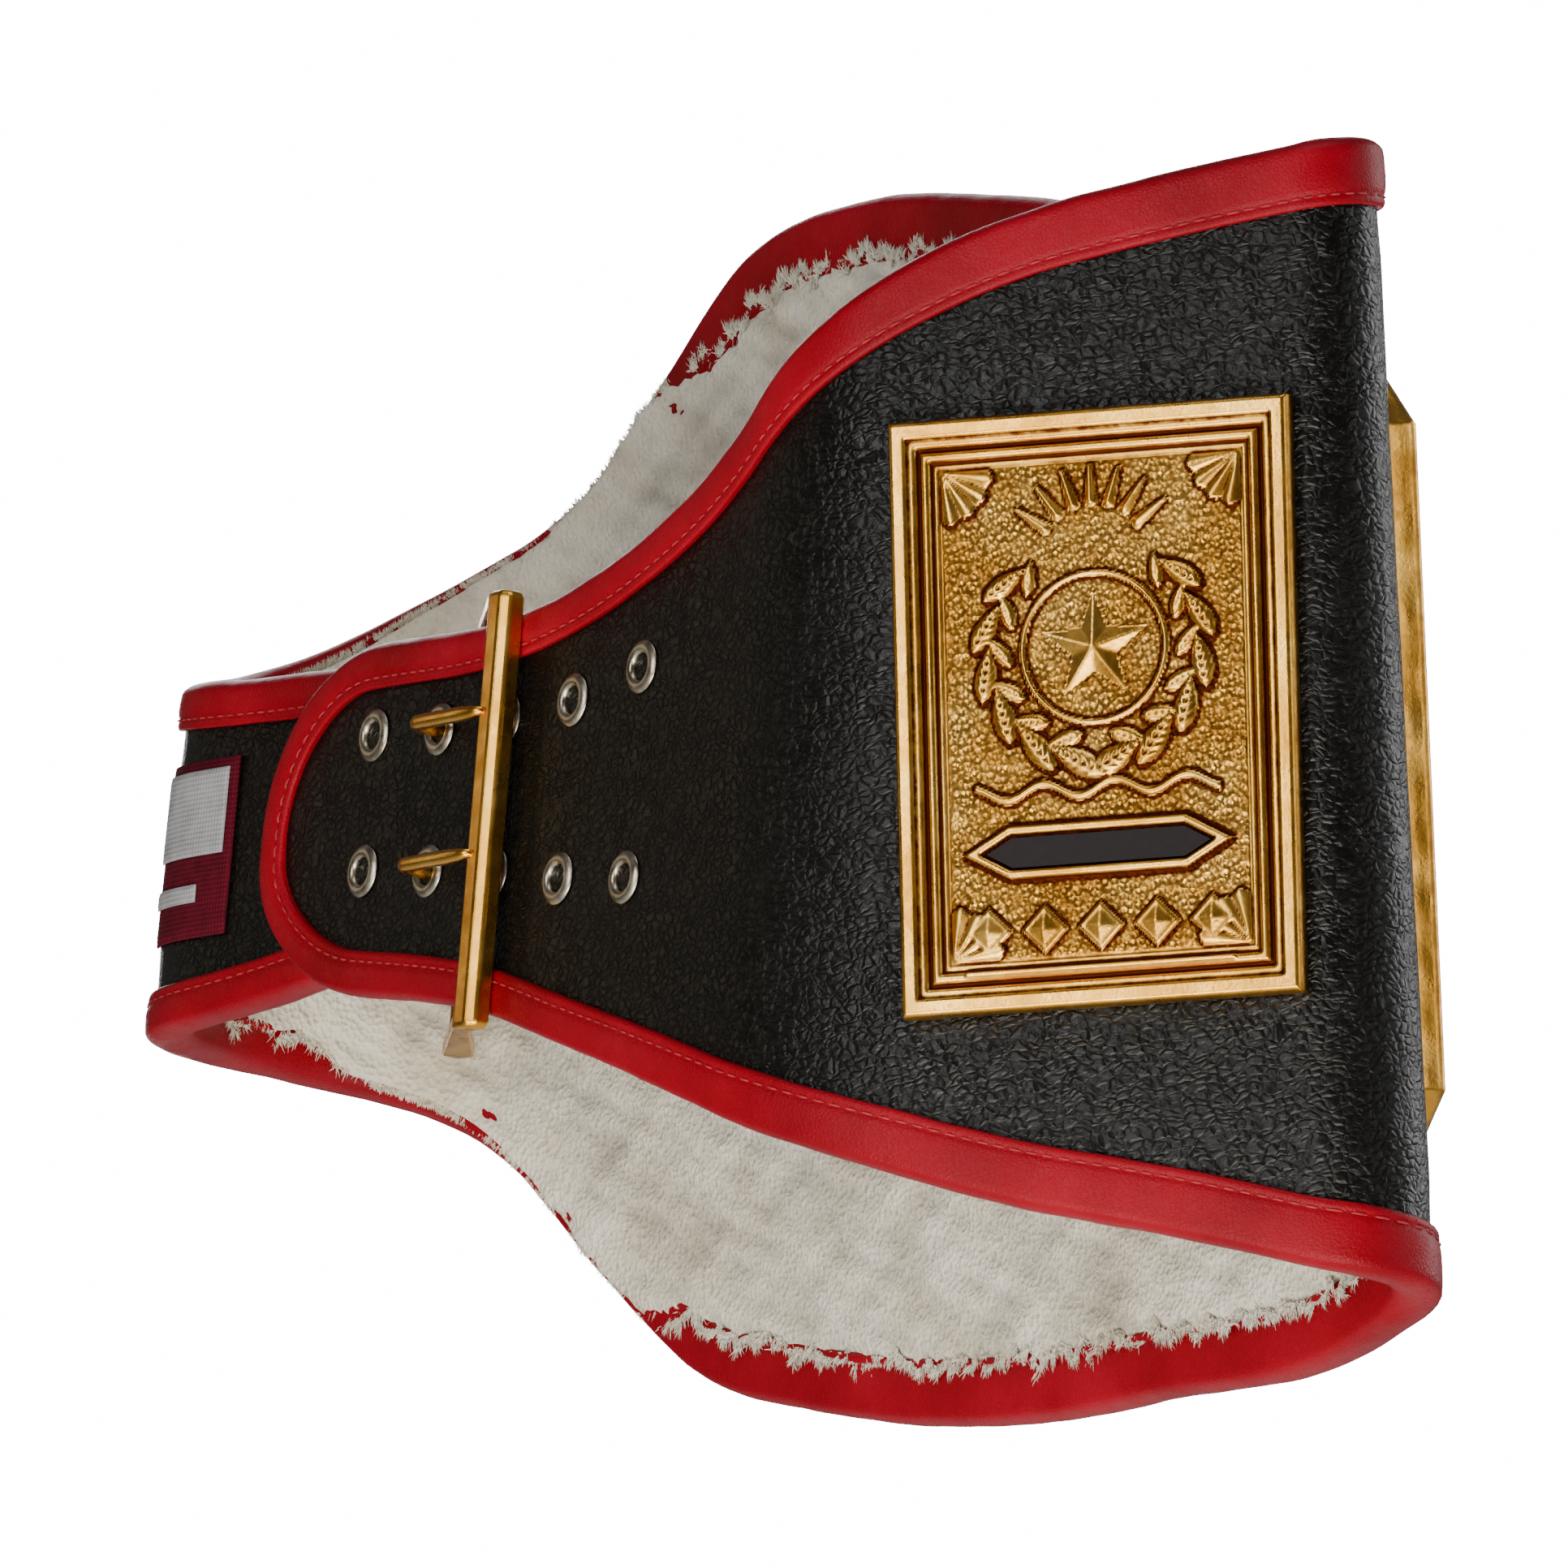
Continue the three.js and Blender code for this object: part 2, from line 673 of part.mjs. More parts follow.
// The binding is a folded strip round the whole outline: a leg on the leather, a round edge and
// a leg on the fleece.
function bindingGeometry() {
  const outer = bindingOut;
  const inner = -bindingIn;
  const middle = (outer + inner) / 2;
  const half = (outer - inner) / 2;
  const rings = outline.map((spot) => {
    const leg = legAt(spot);
    const section = [
      [-bindingCover, outer - bindingThickness],
      [-leg, outer - bindingThickness],
      [-leg, outer],
      [-bindingCover, outer],
      [bindingBulge, middle + half * 0.5],
      [bindingBulge, middle - half * 0.5],
      [-bindingCover, inner],
      [-leg, inner],
      [-leg, inner + bindingThickness],
      [-bindingCover, inner + bindingThickness],
    ];
    return section.map(([reach, depth]) => {
      const point = spot.place.clone().addScaledVector(spot.out, reach);
      return worn(point.x, point.y, depth);
    });
  });
  return ringsToGeometry(rings, true);
}

// Eyelets: a rolled rim on the leather and a barrel through it
function addEyelets() {
  const profile = [
    [eyeletHole, -leatherThickness],
    [eyeletHole + eyeletBarrel, -leatherThickness],
    [eyeletHole + eyeletBarrel, layerGap],
    [eyeletRadius, layerGap],
    [eyeletRadius * 0.86, eyeletRim],
    [eyeletHole + eyeletBarrel, eyeletRim],
    [eyeletHole, eyeletRim * 0.6],
    [eyeletHole, -leatherThickness],
  ].map(([r, h]) => new THREE.Vector2(r, h));
  for (const { w, z, column, row } of eyelets) {
    const ring = new THREE.LatheGeometry(profile, 10).rotateX(Math.PI / 2);
    const group = seat(w, z, 0, `eyelet_seat_${row}_${column}`);
    const geometry = facingOut(mergeVertices(bareCopy(ring), 1e-4));
    addPiece(`eyelet_${row === 0 ? 'upper' : 'lower'}_${eyeletColumns - column}`, geometry, nickel, group);
  }
}

function bareCopy(geometry) {
  const bare = geometry.clone();
  bare.deleteAttribute('normal');
  bare.deleteAttribute('uv');
  return bare;
}

// Buckle: the bar lies over the tail, slanted arms pass its two edges, and the hinge rod with the
// prongs and the leather chape is under it. Local x runs right, towards the front, along the tail.
function addBuckle() {
  const top = edgeTop(barAt);
  const bottom = edgeBottom(barAt);
  const middle = (top + bottom) / 2;
  const half = (top - bottom) / 2 + bindingBulge + clearance + frameOverhang;
  const group = seat(barAt, middle, 0, 'buckle_seat');
  const reach = hingeAt - barAt;
  const barBottom = bindingOut + clearance;
  const barTop = barBottom + barThickness;

  const bar = new THREE.BoxGeometry(barWidth, 2 * half, barThickness);
  bar.translate(0, 0, barBottom + barThickness / 2);
  const rod = new THREE.CylinderGeometry(hingeRadius, hingeRadius, 2 * half, 12).translate(-reach, 0, -hingeDepth);
  const armShape = outlineShape([
    [-barWidth / 2, barBottom], [barWidth / 2, barBottom], [barWidth / 2, barTop], [-barWidth / 2, barTop],
    [-reach - hingeRadius * 1.2, -hingeDepth + hingeRadius], [-reach - hingeRadius * 1.2, -hingeDepth - hingeRadius],
    [-reach + hingeRadius, -hingeDepth - hingeRadius * 1.2],
  ]);
  const arms = [-half, half - armThickness].map((y) => {
    const arm = slab(armShape, armThickness, 0);
    return arm.rotateX(Math.PI / 2).translate(0, y + armThickness, 0);
  });
  const groove = prongRadius + clearance;
  let frame = join([bar, rod, ...arms]);
  const prongs = eyelets.filter(({ column }) => column === prongColumn);
  for (const { z } of prongs) {
    const notch = new THREE.BoxGeometry(barWidth / 2 + prongTip, 2 * groove, 2 * groove);
    notch.translate(-barWidth / 2, z - middle, barTop);
    frame = frame.subtract(toSolid(notch));
  }
  addPiece('buckle_frame', toGeometry(frame), gold, group);
  prongs.forEach(({ z, row }) => {
    addPiece(row === 0 ? 'prong_upper' : 'prong_lower', prongGeometry(reach, barTop, z - middle), gold, group);
  });
  addPiece('buckle_chape', chapeGeometry(reach, prongs.map(({ z }) => z - middle)), leather, group);
}

// Prong: an eye round the hinge rod and a bent wire up through the tail to the bar
function prongGeometry(reach, barTop, y) {
  const inner = hingeRadius + clearance / 2;
  const outer = hingeRadius + clearance + chapeThickness;
  const eyeShape = new THREE.Shape();
  eyeShape.absarc(0, 0, outer, 0, 2 * Math.PI);
  const hole = new THREE.Path();
  hole.absarc(0, 0, inner, 0, 2 * Math.PI, true);
  eyeShape.holes.push(hole);
  const eye = new THREE.ExtrudeGeometry(eyeShape, { depth: 2 * prongRadius, bevelEnabled: false, curveSegments: 7 });
  eye.rotateX(Math.PI / 2).translate(-reach, y + prongRadius, -hingeDepth);
  const riseX = barAt - eyeletAt(prongColumn) - 0.4 * prongRadius;
  const lying = barTop + clearance / 2;
  const path = new THREE.CurvePath();
  const at = (x, z) => new THREE.Vector3(x, y, z);
  const bend = 2.6 * prongRadius;
  path.add(new THREE.LineCurve3(at(riseX, -hingeDepth + 0.5), at(riseX, lying - bend)));
  path.add(new THREE.QuadraticBezierCurve3(at(riseX, lying - bend), at(riseX, lying), at(riseX + bend, lying)));
  path.add(new THREE.LineCurve3(at(riseX + bend, lying), at(-barWidth / 2 + prongTip - clearance, lying)));
  const section = new THREE.Shape();
  section.absarc(0, 0, prongRadius, 0, 2 * Math.PI);
  const wire = new THREE.ExtrudeGeometry(section, { steps: 10, extrudePath: path, curveSegments: 3 });
  return toGeometry(toSolid(eye).add(toSolid(wire)));
}

// Chape: a leather strip folded round the hinge rod and back along the strap, open at the prongs
function chapeGeometry(reach, prongYs) {
  const outer = hingeRadius + clearance + chapeThickness;
  const inner = hingeRadius + clearance;
  const shape = new THREE.Shape();
  shape.moveTo(-chapeLength, outer);
  shape.lineTo(-chapeLength, inner);
  shape.lineTo(0, inner);
  shape.absarc(0, 0, inner, Math.PI / 2, -Math.PI * 0.8, true);
  shape.absarc(0, 0, outer, -Math.PI * 0.8, Math.PI / 2, false);
  shape.lineTo(-chapeLength, outer);
  const width = strapRise + strapDrop - 2 * strapCorner;
  const strip = new THREE.ExtrudeGeometry(shape, { depth: width, bevelEnabled: false, curveSegments: 9 });
  strip.rotateX(Math.PI / 2).translate(-reach, width / 2, -hingeDepth);
  const slotWidth = 2 * prongRadius + 2 * clearance;
  let solid = toSolid(strip);
  for (const y of prongYs) {
    const slot = new THREE.BoxGeometry(3 * outer, slotWidth, 3 * outer);
    solid = solid.subtract(toSolid(slot.translate(-reach + outer * 0.6, y, -hingeDepth)));
  }
  return toGeometry(solid);
}

// Patch of cloth on the leather between two positions along the strap and two heights
function patch(fromW, toW, low, high, outer, inner) {
  const steps = Math.max(2, Math.ceil((toW - fromW) / 5));
  const rings = [...Array(steps + 1).keys()].map((k) => {
    const w = fromW + ((toW - fromW) * k) / steps;
    return [worn(w, high, outer), worn(w, low, outer), worn(w, low, inner), worn(w, high, inner)];
  });
  return ringsToGeometry(rings, false);
}

// Label: a woven patch with a pale panel above and a short pale bar below, all blank
function addLabel() {
  const from = tailEnd + labelFromTail - loopLength;
  const to = from + labelLength;
  const high = labelLift + labelHeight / 2;
  const low = labelLift - labelHeight / 2;
  const face = layerGap + labelThickness;
  const lying = face + layerGap;
  addPiece('label_patch', patch(from, to, low, high, face, layerGap), labelCloth);
  const panelLow = high - labelHeight * 0.54;
  const panel = patch(from + labelBorder, to - labelBorder, panelLow, high - labelBorder, lying + 0.5, lying);
  addPiece('label_panel', panel, labelPanel);
  const barHigh = high - labelHeight * 0.7;
  const bar = patch(from + labelLength * 0.3, to - labelBorder, barHigh - labelHeight * 0.1, barHigh, lying + 0.5, lying);
  addPiece('label_bar', bar, labelPanel);
}

addStrap();
addEyelets();
addBuckle();
addMainPlate();
addSidePlate('side_plate_tail', sidePlateAlong * loopLength);
addSidePlate('side_plate_buckle', -sidePlateAlong * loopLength);
addLabel();

export default belt;
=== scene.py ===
import math

import bmesh
import bpy
import numpy as np
from mathutils import Matrix, Vector


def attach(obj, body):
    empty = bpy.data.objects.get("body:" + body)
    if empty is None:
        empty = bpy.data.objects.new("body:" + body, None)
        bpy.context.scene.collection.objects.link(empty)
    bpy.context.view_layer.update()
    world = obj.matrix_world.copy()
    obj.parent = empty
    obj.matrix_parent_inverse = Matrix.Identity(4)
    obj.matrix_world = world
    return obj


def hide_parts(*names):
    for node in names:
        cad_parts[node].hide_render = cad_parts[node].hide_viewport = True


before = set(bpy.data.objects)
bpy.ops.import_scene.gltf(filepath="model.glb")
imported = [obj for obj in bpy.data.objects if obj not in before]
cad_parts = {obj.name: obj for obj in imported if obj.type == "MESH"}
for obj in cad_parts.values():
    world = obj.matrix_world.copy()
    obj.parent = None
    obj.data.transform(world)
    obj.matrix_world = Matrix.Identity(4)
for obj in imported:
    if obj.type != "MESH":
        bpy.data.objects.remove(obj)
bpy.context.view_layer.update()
rng = np.random.default_rng(7)

# Sizes of the belt in millimetres, as its solids have them
LOOP = 1000.0
FRONT_RISE, FRONT_DROP = 129.0, 153.0
STRAP_RISE, STRAP_DROP = 39.5, 33.5
TAIL_END = LOOP / 2 + 3
TAIL_CORNER, TAIL_CORNER_TOP, TAIL_CORNER_BOTTOM = 44.0, 40.0, 28.0
STRAP_CORNER = 12.0
LEAN = math.tan(math.radians(8.5))
LEAN_COS = math.cos(math.atan(LEAN))
BODY = 9.3
LEATHER = 3.0
GAP = 0.3
BIND = 1.5
COVER = 1.2
BULGE = 2.6
LEG_STRAP, LEG_FRONT = 9.0, 14.0
EYELET_PITCH = 30.0
EYELET_FIRST = TAIL_END - 46.0
EYELET_SHARES = (0.25, 0.655)
BAR_AT = EYELET_FIRST - 2 * EYELET_PITCH - 3.0
PRONG_AT = EYELET_FIRST - EYELET_PITCH
HINGE_AT = PRONG_AT + 5.0
CLEAR = 0.4
HINGE_R, CHAPE, PRONG_R = 2.6, 1.3, 1.9
CHAPE_LAP = 26.0
CHAPE_REACH = HINGE_R + CLEAR + CHAPE
BIND_OUT = GAP + BIND
BIND_IN = BODY + BIND_OUT
SINK = BIND_IN + CLEAR + CHAPE + CLEAR + BIND_OUT
HINGE_DEPTH = BIND_IN + CLEAR + CHAPE_REACH
BUCKLE_END = HINGE_AT + CHAPE_REACH + CLEAR + BULGE - LOOP
SIDE_W, SIDE_H, SIDE_SLAB, SIDE_LIFT = 100.0, 143.0, 3.4, 2.0
MAIN_W, MAIN_H, MAIN_SLAB, MAIN_CORNER, MAIN_LIFT = 186.0, 192.0, 9.5, 16.0, -11.0
FRAME_H = 2.4
SIDE_AT = 0.19 * LOOP

# The loop from above, as in the solids: share of the length, share of the full turn
PLAN = np.array([
    (0.095, 0), (0.045, 0.3887), (0.1, 0), (0.05, 0.1054), (0.21, 0),
    (0.0525, 0.0351), (0.0525, 0.1245), (0.105, 0.3043), (0.05, 0.042), (0.24, 0),
])
ALONG = np.array([0, 0.12, 0.24, 0.35, 0.44, 0.53, 0.63, 0.72, 0.81, 0.92, 1.02, 1.2])
TAIL_TOP = np.array([1, 1.02, 1.04, 0.97, 0.86, 0.63, 0.3, 0.1, 0.015, 0.015, 0, 0])
TAIL_BOTTOM = np.array([1, 0.99, 0.87, 0.745, 0.65, 0.52, 0.36, 0.24, 0.13, 0.06, 0, 0])
BUCKLE_TOP = np.array([1, 1.1, 1.17, 1.1, 0.8, 0.5, 0.3, 0.13, 0.05, 0.01, 0, 0])
BUCKLE_BOTTOM = np.array([1, 1.01, 0.98, 0.91, 0.82, 0.59, 0.25, 0.12, 0.07, 0.04, 0, 0])
TAIL_LEAN = ((0.19, 0.28, 0.49, 0.65), (0, 0.38, 0.38, 1))
BUCKLE_LEAN = ((0.49, 0.78), (0, 1))


def ease(t):
    t = np.clip(t, 0, 1)
    return t * t * (3 - 2 * t)


def bump(d, half, soft):
    """1 inside half of a centre line, falling to 0 over soft."""
    return ease((half - np.abs(d)) / soft + 0.5)


def build_plan():
    lengths = PLAN[:, 0] / PLAN[:, 0].sum() * LOOP
    turns = -PLAN[:, 1] / PLAN[:, 1].sum() * 2 * math.pi
    starts = np.concatenate([[0], np.cumsum(lengths)[:-1]])
    headings = math.pi + np.concatenate([[0], np.cumsum(turns)[:-1]])
    xs, ys = [0.0], [0.0]
    for length, turn, heading in zip(lengths, turns, headings):
        dx, dy = chord(np.array(length), turn / length, heading)
        xs.append(xs[-1] + float(dx))
        ys.append(ys[-1] + float(dy))
    return starts, lengths, turns, headings, np.array(xs), np.array(ys)


def chord(length, curve, heading):
    turn = length * curve
    half = turn / 2
    reach = length * np.sinc(half / math.pi)
    return reach * np.cos(heading + half), reach * np.sin(heading + half)


STARTS, LENGTHS, TURNS, HEADINGS, XS, YS = build_plan()
MIDDLE = np.zeros(2)


def plan_at(w):
    """Places and outward directions on the loop for positions along it."""
    s = np.mod(np.asarray(w, float), LOOP)
    leg = np.clip(np.searchsorted(STARTS, s, side="right") - 1, 0, len(STARTS) - 1)
    part = s - STARTS[leg]
    curve = TURNS[leg] / LENGTHS[leg]
    dx, dy = chord(part, curve, HEADINGS[leg])
    share = s / LOOP
    x = XS[leg] + dx - XS[-1] * share - MIDDLE[0]
    y = YS[leg] + dy - YS[-1] * share - MIDDLE[1]
    angle = HEADINGS[leg] + part * curve
    run_x = np.cos(angle) - XS[-1] / LOOP
    run_y = np.sin(angle) - YS[-1] / LOOP
    size = np.hypot(run_x, run_y)
    return x, y, -run_y / size, run_x / size


xs, ys, _, _ = plan_at(np.arange(360) * LOOP / 360)
MIDDLE = np.array([(xs.min() + xs.max()) / 2, (ys.min() + ys.max()) / 2])


def hermite(values, along):
    """Smooth curve through the rows of a table, as the solids take it."""
    last = len(ALONG) - 1
    i = np.clip(np.searchsorted(ALONG, along, side="right") - 1, 0, last - 1)
    rows = np.arange(last + 1)
    low, high = np.maximum(0, rows - 1), np.minimum(last, rows + 1)
    slopes = (values[high] - values[low]) / (ALONG[high] - ALONG[low])
    slopes[0] = 0
    span = ALONG[i + 1] - ALONG[i]
    t = np.clip((along - ALONG[i]) / span, 0, 1)
    return (
        (2 * t ** 3 - 3 * t ** 2 + 1) * values[i]
        + (t ** 3 - 2 * t ** 2 + t) * span * slopes[i]
        + (3 * t ** 2 - 2 * t ** 3) * values[i + 1]
        + (t ** 3 - t ** 2) * span * slopes[i + 1]
    )


def share_of(w, tail, buckle):
    along = 2 * np.abs(w) / LOOP
    return np.where(w < 0, hermite(buckle, along), hermite(tail, along))


def lean_at(w):
    along = 2 * np.abs(w) / LOOP
    result = np.zeros_like(along)
    for (marks, values), mask in ((BUCKLE_LEAN, w < 0), (TAIL_LEAN, w >= 0)):
        lean = np.where(along >= marks[-1], values[-1], 0.0)
        for k in range(len(marks) - 1):
            inside = (along >= marks[k]) & (along < marks[k + 1])
            t = ease((along - marks[k]) / (marks[k + 1] - marks[k]))
            lean = np.where(inside, values[k] + (values[k + 1] - values[k]) * t, lean)
        result = np.where(mask, lean, result)
    return result * LEAN


def sink_at(w):
    past = w + LOOP - TAIL_END
    return np.where(w >= 0, 0.0, SINK * (1 - ease(past / (0.085 * LOOP))))


def worn(w, z, out):
    """Metres in the frame, for a place on the laid-out strap in millimetres."""
    w, z, out = np.broadcast_arrays(*(np.asarray(value, float) for value in (w, z, out)))
    x, y, out_x, out_y = plan_at(w)
    offset = out - sink_at(w) - z * lean_at(w)
    return np.stack([x + out_x * offset, y + out_y * offset, z], axis=-1) * 0.001


def corner_drop(from_end, length, height):
    t = np.clip((length - from_end) / length, 0, 1)
    return height * (1 - np.sqrt(1 - t * t))


def full_top(w):
    """Height of the strap's upper edge before its corners are rounded."""
    return STRAP_RISE + (FRONT_RISE - STRAP_RISE) * share_of(w, TAIL_TOP, BUCKLE_TOP)


def full_bottom(w):
    return -STRAP_DROP - (FRONT_DROP - STRAP_DROP) * share_of(w, TAIL_BOTTOM, BUCKLE_BOTTOM)


def eyelet_row(w, share):
    """Height of a row of eyelets, for its share of the way down the strap."""
    top, bottom = full_top(np.array(w)), full_bottom(np.array(w))
    return float(top + (bottom - top) * share)


def leg_at(w):
    """Width of the binding on the leather, wider at the front."""
    front = np.clip(share_of(w, TAIL_TOP, BUCKLE_TOP), 0, 1)
    return LEG_STRAP + (LEG_FRONT - LEG_STRAP) * front


def edge_top(w):
    z = full_top(w) - corner_drop(TAIL_END - w, TAIL_CORNER, TAIL_CORNER_TOP)
    return z - corner_drop(w - BUCKLE_END, STRAP_CORNER, STRAP_CORNER)


def edge_bottom(w):
    z = full_bottom(w) + corner_drop(TAIL_END - w, TAIL_CORNER, TAIL_CORNER_BOTTOM)
    return z + corner_drop(w - BUCKLE_END, STRAP_CORNER, STRAP_CORNER)


def stations(step):
    """Positions along the strap, closer together in the rounded ends."""
    start = BUCKLE_END + STRAP_CORNER * (1 - np.cos(np.linspace(0, math.pi / 2, 9)))
    end = TAIL_END - TAIL_CORNER * (1 - np.cos(np.linspace(0, math.pi / 2, 22)))
    low, high = start[-1], end[-1]
    count = int((high - low) / step)
    return np.concatenate([start[:-1], np.linspace(low, high, count), end[::-1][1:]])


def outline(step):
    """The strap's edge as a closed run of places, with the direction out of it."""
    w = stations(step)
    top, bottom = np.stack([w, edge_top(w)], 1), np.stack([w, edge_bottom(w)], 1)
    places = np.concatenate([top, bottom[::-1]])
    run = np.roll(places, -1, 0) - np.roll(places, 1, 0)
    run /= np.linalg.norm(run, axis=1)[:, None]
    out = np.stack([-run[:, 1], run[:, 0]], 1)
    return places, out, leg_at(places[:, 0])


def seat(w, z, out):
    """Matrix of a frame standing on the leather: x right as seen from outside, y up, z outward."""
    w = float(w)
    right = worn(w - 1, z, out) - worn(w + 1, z, out)
    rise = worn(w, z + 1, out) - worn(w, z - 1, out)
    right /= np.linalg.norm(right)
    outward = np.cross(right, rise)
    outward /= np.linalg.norm(outward)
    up = np.cross(outward, right)
    m = np.eye(4)
    m[:3, 0], m[:3, 1], m[:3, 2], m[:3, 3] = right, up, outward, worn(w, z, out)
    return m


def placed(m, points):
    return (points * 0.001) @ m[:3, :3].T + m[:3, 3]


# Smooth noise made of sines with seeded directions, for forms; finer noise is in the materials
def sine_noise(points, scale, seed, count=7):
    """About -1 to 1, with features about scale long, for points in the same unit."""
    dice = np.random.default_rng(seed)
    total = np.zeros(points.shape[:-1])
    for _ in range(count):
        direction = dice.normal(size=points.shape[-1])
        direction /= np.linalg.norm(direction)
        wave = 2 * math.pi / (scale * dice.uniform(1.2, 3.0))
        total += np.sin(points @ (direction * wave) + dice.uniform(0, 2 * math.pi))
    return total / math.sqrt(count / 2) * 0.6


# Meshes
def make_object(name, verts, faces, material, smooth=True):
    mesh = bpy.data.meshes.new(name)
    mesh.from_pydata(np.asarray(verts, float).reshape(-1, 3).tolist(), [], faces)
    mesh.update()
    mesh.polygons.foreach_set("use_smooth", [smooth] * len(mesh.polygons))
    obj = bpy.data.objects.new(name, mesh)
    bpy.context.scene.collection.objects.link(obj)
    mesh.materials.append(material)
    return obj


def grid_faces(nu, nv, close_u=False, close_v=False, start=0):
    u = np.arange(nu if close_u else nu - 1)[:, None]
    v = np.arange(nv if close_v else nv - 1)[None, :]
    u1, v1 = (u + 1) % nu, (v + 1) % nv
    quad = np.stack(np.broadcast_arrays(u * nv + v, u1 * nv + v, u1 * nv + v1, u * nv + v1), -1)
    return (quad.reshape(-1, 4) + start).tolist()


def tube(name, rings, material, closed=False, smooth=True):
    """Body from rings of points (stations, ring, 3), closed on itself or capped."""
    rings = np.asarray(rings)
    nu, nv = rings.shape[:2]
    faces = grid_faces(nu, nv, closed, True)
    if not closed:
        faces.append(list(range(nv))[::-1])
        faces.append([(nu - 1) * nv + k for k in range(nv)])
    obj = make_object(name, rings, faces, material, smooth)
    fix_normals(obj)
    return obj


def fix_normals(obj):
    work = bmesh.new()
    work.from_mesh(obj.data)
    bmesh.ops.recalc_face_normals(work, faces=work.faces)
    work.to_mesh(obj.data)
    work.free()


def joined(name, objects):
    bpy.ops.object.select_all(action="DESELECT")
    for obj in objects:
        obj.select_set(True)
    bpy.context.view_layer.objects.active = objects[0]
    bpy.ops.object.join()
    objects[0].name = name
    objects[0].data.name = name
    return objects[0]


def add_attribute(obj, name, values):
    attribute = obj.data.attributes.new(name, "FLOAT", "POINT")
    attribute.data.foreach_set("value", np.asarray(values, np.float32).ravel())


def finish_piece(obj, slot, *nodes):
    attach(obj, "root")
    if nodes:
        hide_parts(*nodes)
    return obj


# Materials
RANGE_KEYS = ("From Min", "From Max", "To Min", "To Max")


class Nodes:
    """Short form for building a node tree."""

    def __init__(self, name):
        self.material = bpy.data.materials.new(name)
        self.material.use_nodes = True
        self.tree = self.material.node_tree
        self.shader = self.tree.nodes["Principled BSDF"]

    def add(self, kind, **settings):
        node = self.tree.nodes.new(kind)
        for key, value in settings.items():
            if hasattr(node, key):
                setattr(node, key, value)
            else:
                node.inputs[key.replace("_", " ")].default_value = value
        return node

    def link(self, source, target):
        self.tree.links.new(source, target)

    def place(self):
        return self.add("ShaderNodeTexCoord").outputs["Object"]

    def noise(self, scale, detail=3.0, roughness=0.55, vector=None):
        node = self.add("ShaderNodeTexNoise", Scale=scale, Detail=detail, Roughness=roughness)
        self.link(vector or self.place(), node.inputs["Vector"])
        return node.outputs["Fac"]

    def cells(self, scale, feature="F1", vector=None):
        node = self.add("ShaderNodeTexVoronoi", feature=feature, Scale=scale)
        self.link(vector or self.place(), node.inputs["Vector"])
        return node.outputs["Distance"]

    def ramp(self, source, stops):
        node = self.add("ShaderNodeValToRGB")
        elements = node.color_ramp.elements
        while len(elements) < len(stops):
            elements.new(0.5)
        for element, (position, color) in zip(elements, stops):
            element.position = position
            element.color = (*color, 1) if len(color) == 3 else color
        self.link(source, node.inputs["Fac"])
        return node.outputs["Color"]

    def remap(self, source, low, high, to_low, to_high):
        node = self.add("ShaderNodeMapRange")
        for key, value in zip(RANGE_KEYS, (low, high, to_low, to_high)):
            node.inputs[key].default_value = value
        self.link(source, node.inputs["Value"])
        return node.outputs["Result"]

    def math(self, operation, a, b):
        node = self.add("ShaderNodeMath", operation=operation)
        self.link(a, node.inputs[0])
        if isinstance(b, float):
            node.inputs[1].default_value = b
        else:
            self.link(b, node.inputs[1])
        return node.outputs[0]

    def plus(self, a, b, share=1.0):
        """Sum of a and a share of b."""
        return self.math("ADD", a, self.math("MULTIPLY", b, share))

    def mix(self, factor, a, b, blend="MIX"):
        node = self.add("ShaderNodeMix", data_type="RGBA", blend_type=blend)
        for socket, value in ((node.inputs[0], factor), (node.inputs[6], a), (node.inputs[7], b)):
            if isinstance(value, (int, float)):
                socket.default_value = value
            elif isinstance(value, tuple):
                socket.default_value = (*value, 1)
            else:
                self.link(value, socket)
        return node.outputs[2]

    def bump(self, height, distance, strength=1.0):
        node = self.add("ShaderNodeBump", Strength=strength, Distance=distance)
        self.link(height, node.inputs["Height"])
        self.link(node.outputs["Normal"], self.shader.inputs["Normal"])

    def attribute(self, name):
        return self.add("ShaderNodeAttribute", attribute_name=name).outputs["Fac"]

    def set(self, **values):
        for key, value in values.items():
            socket = self.shader.inputs[key.replace("_", " ")]
            if isinstance(value, tuple):
                socket.default_value = (*value, 1) if len(value) == 3 else value
            elif isinstance(value, (int, float)):
                socket.default_value = value
            else:
                self.link(value, socket)
        return self.material


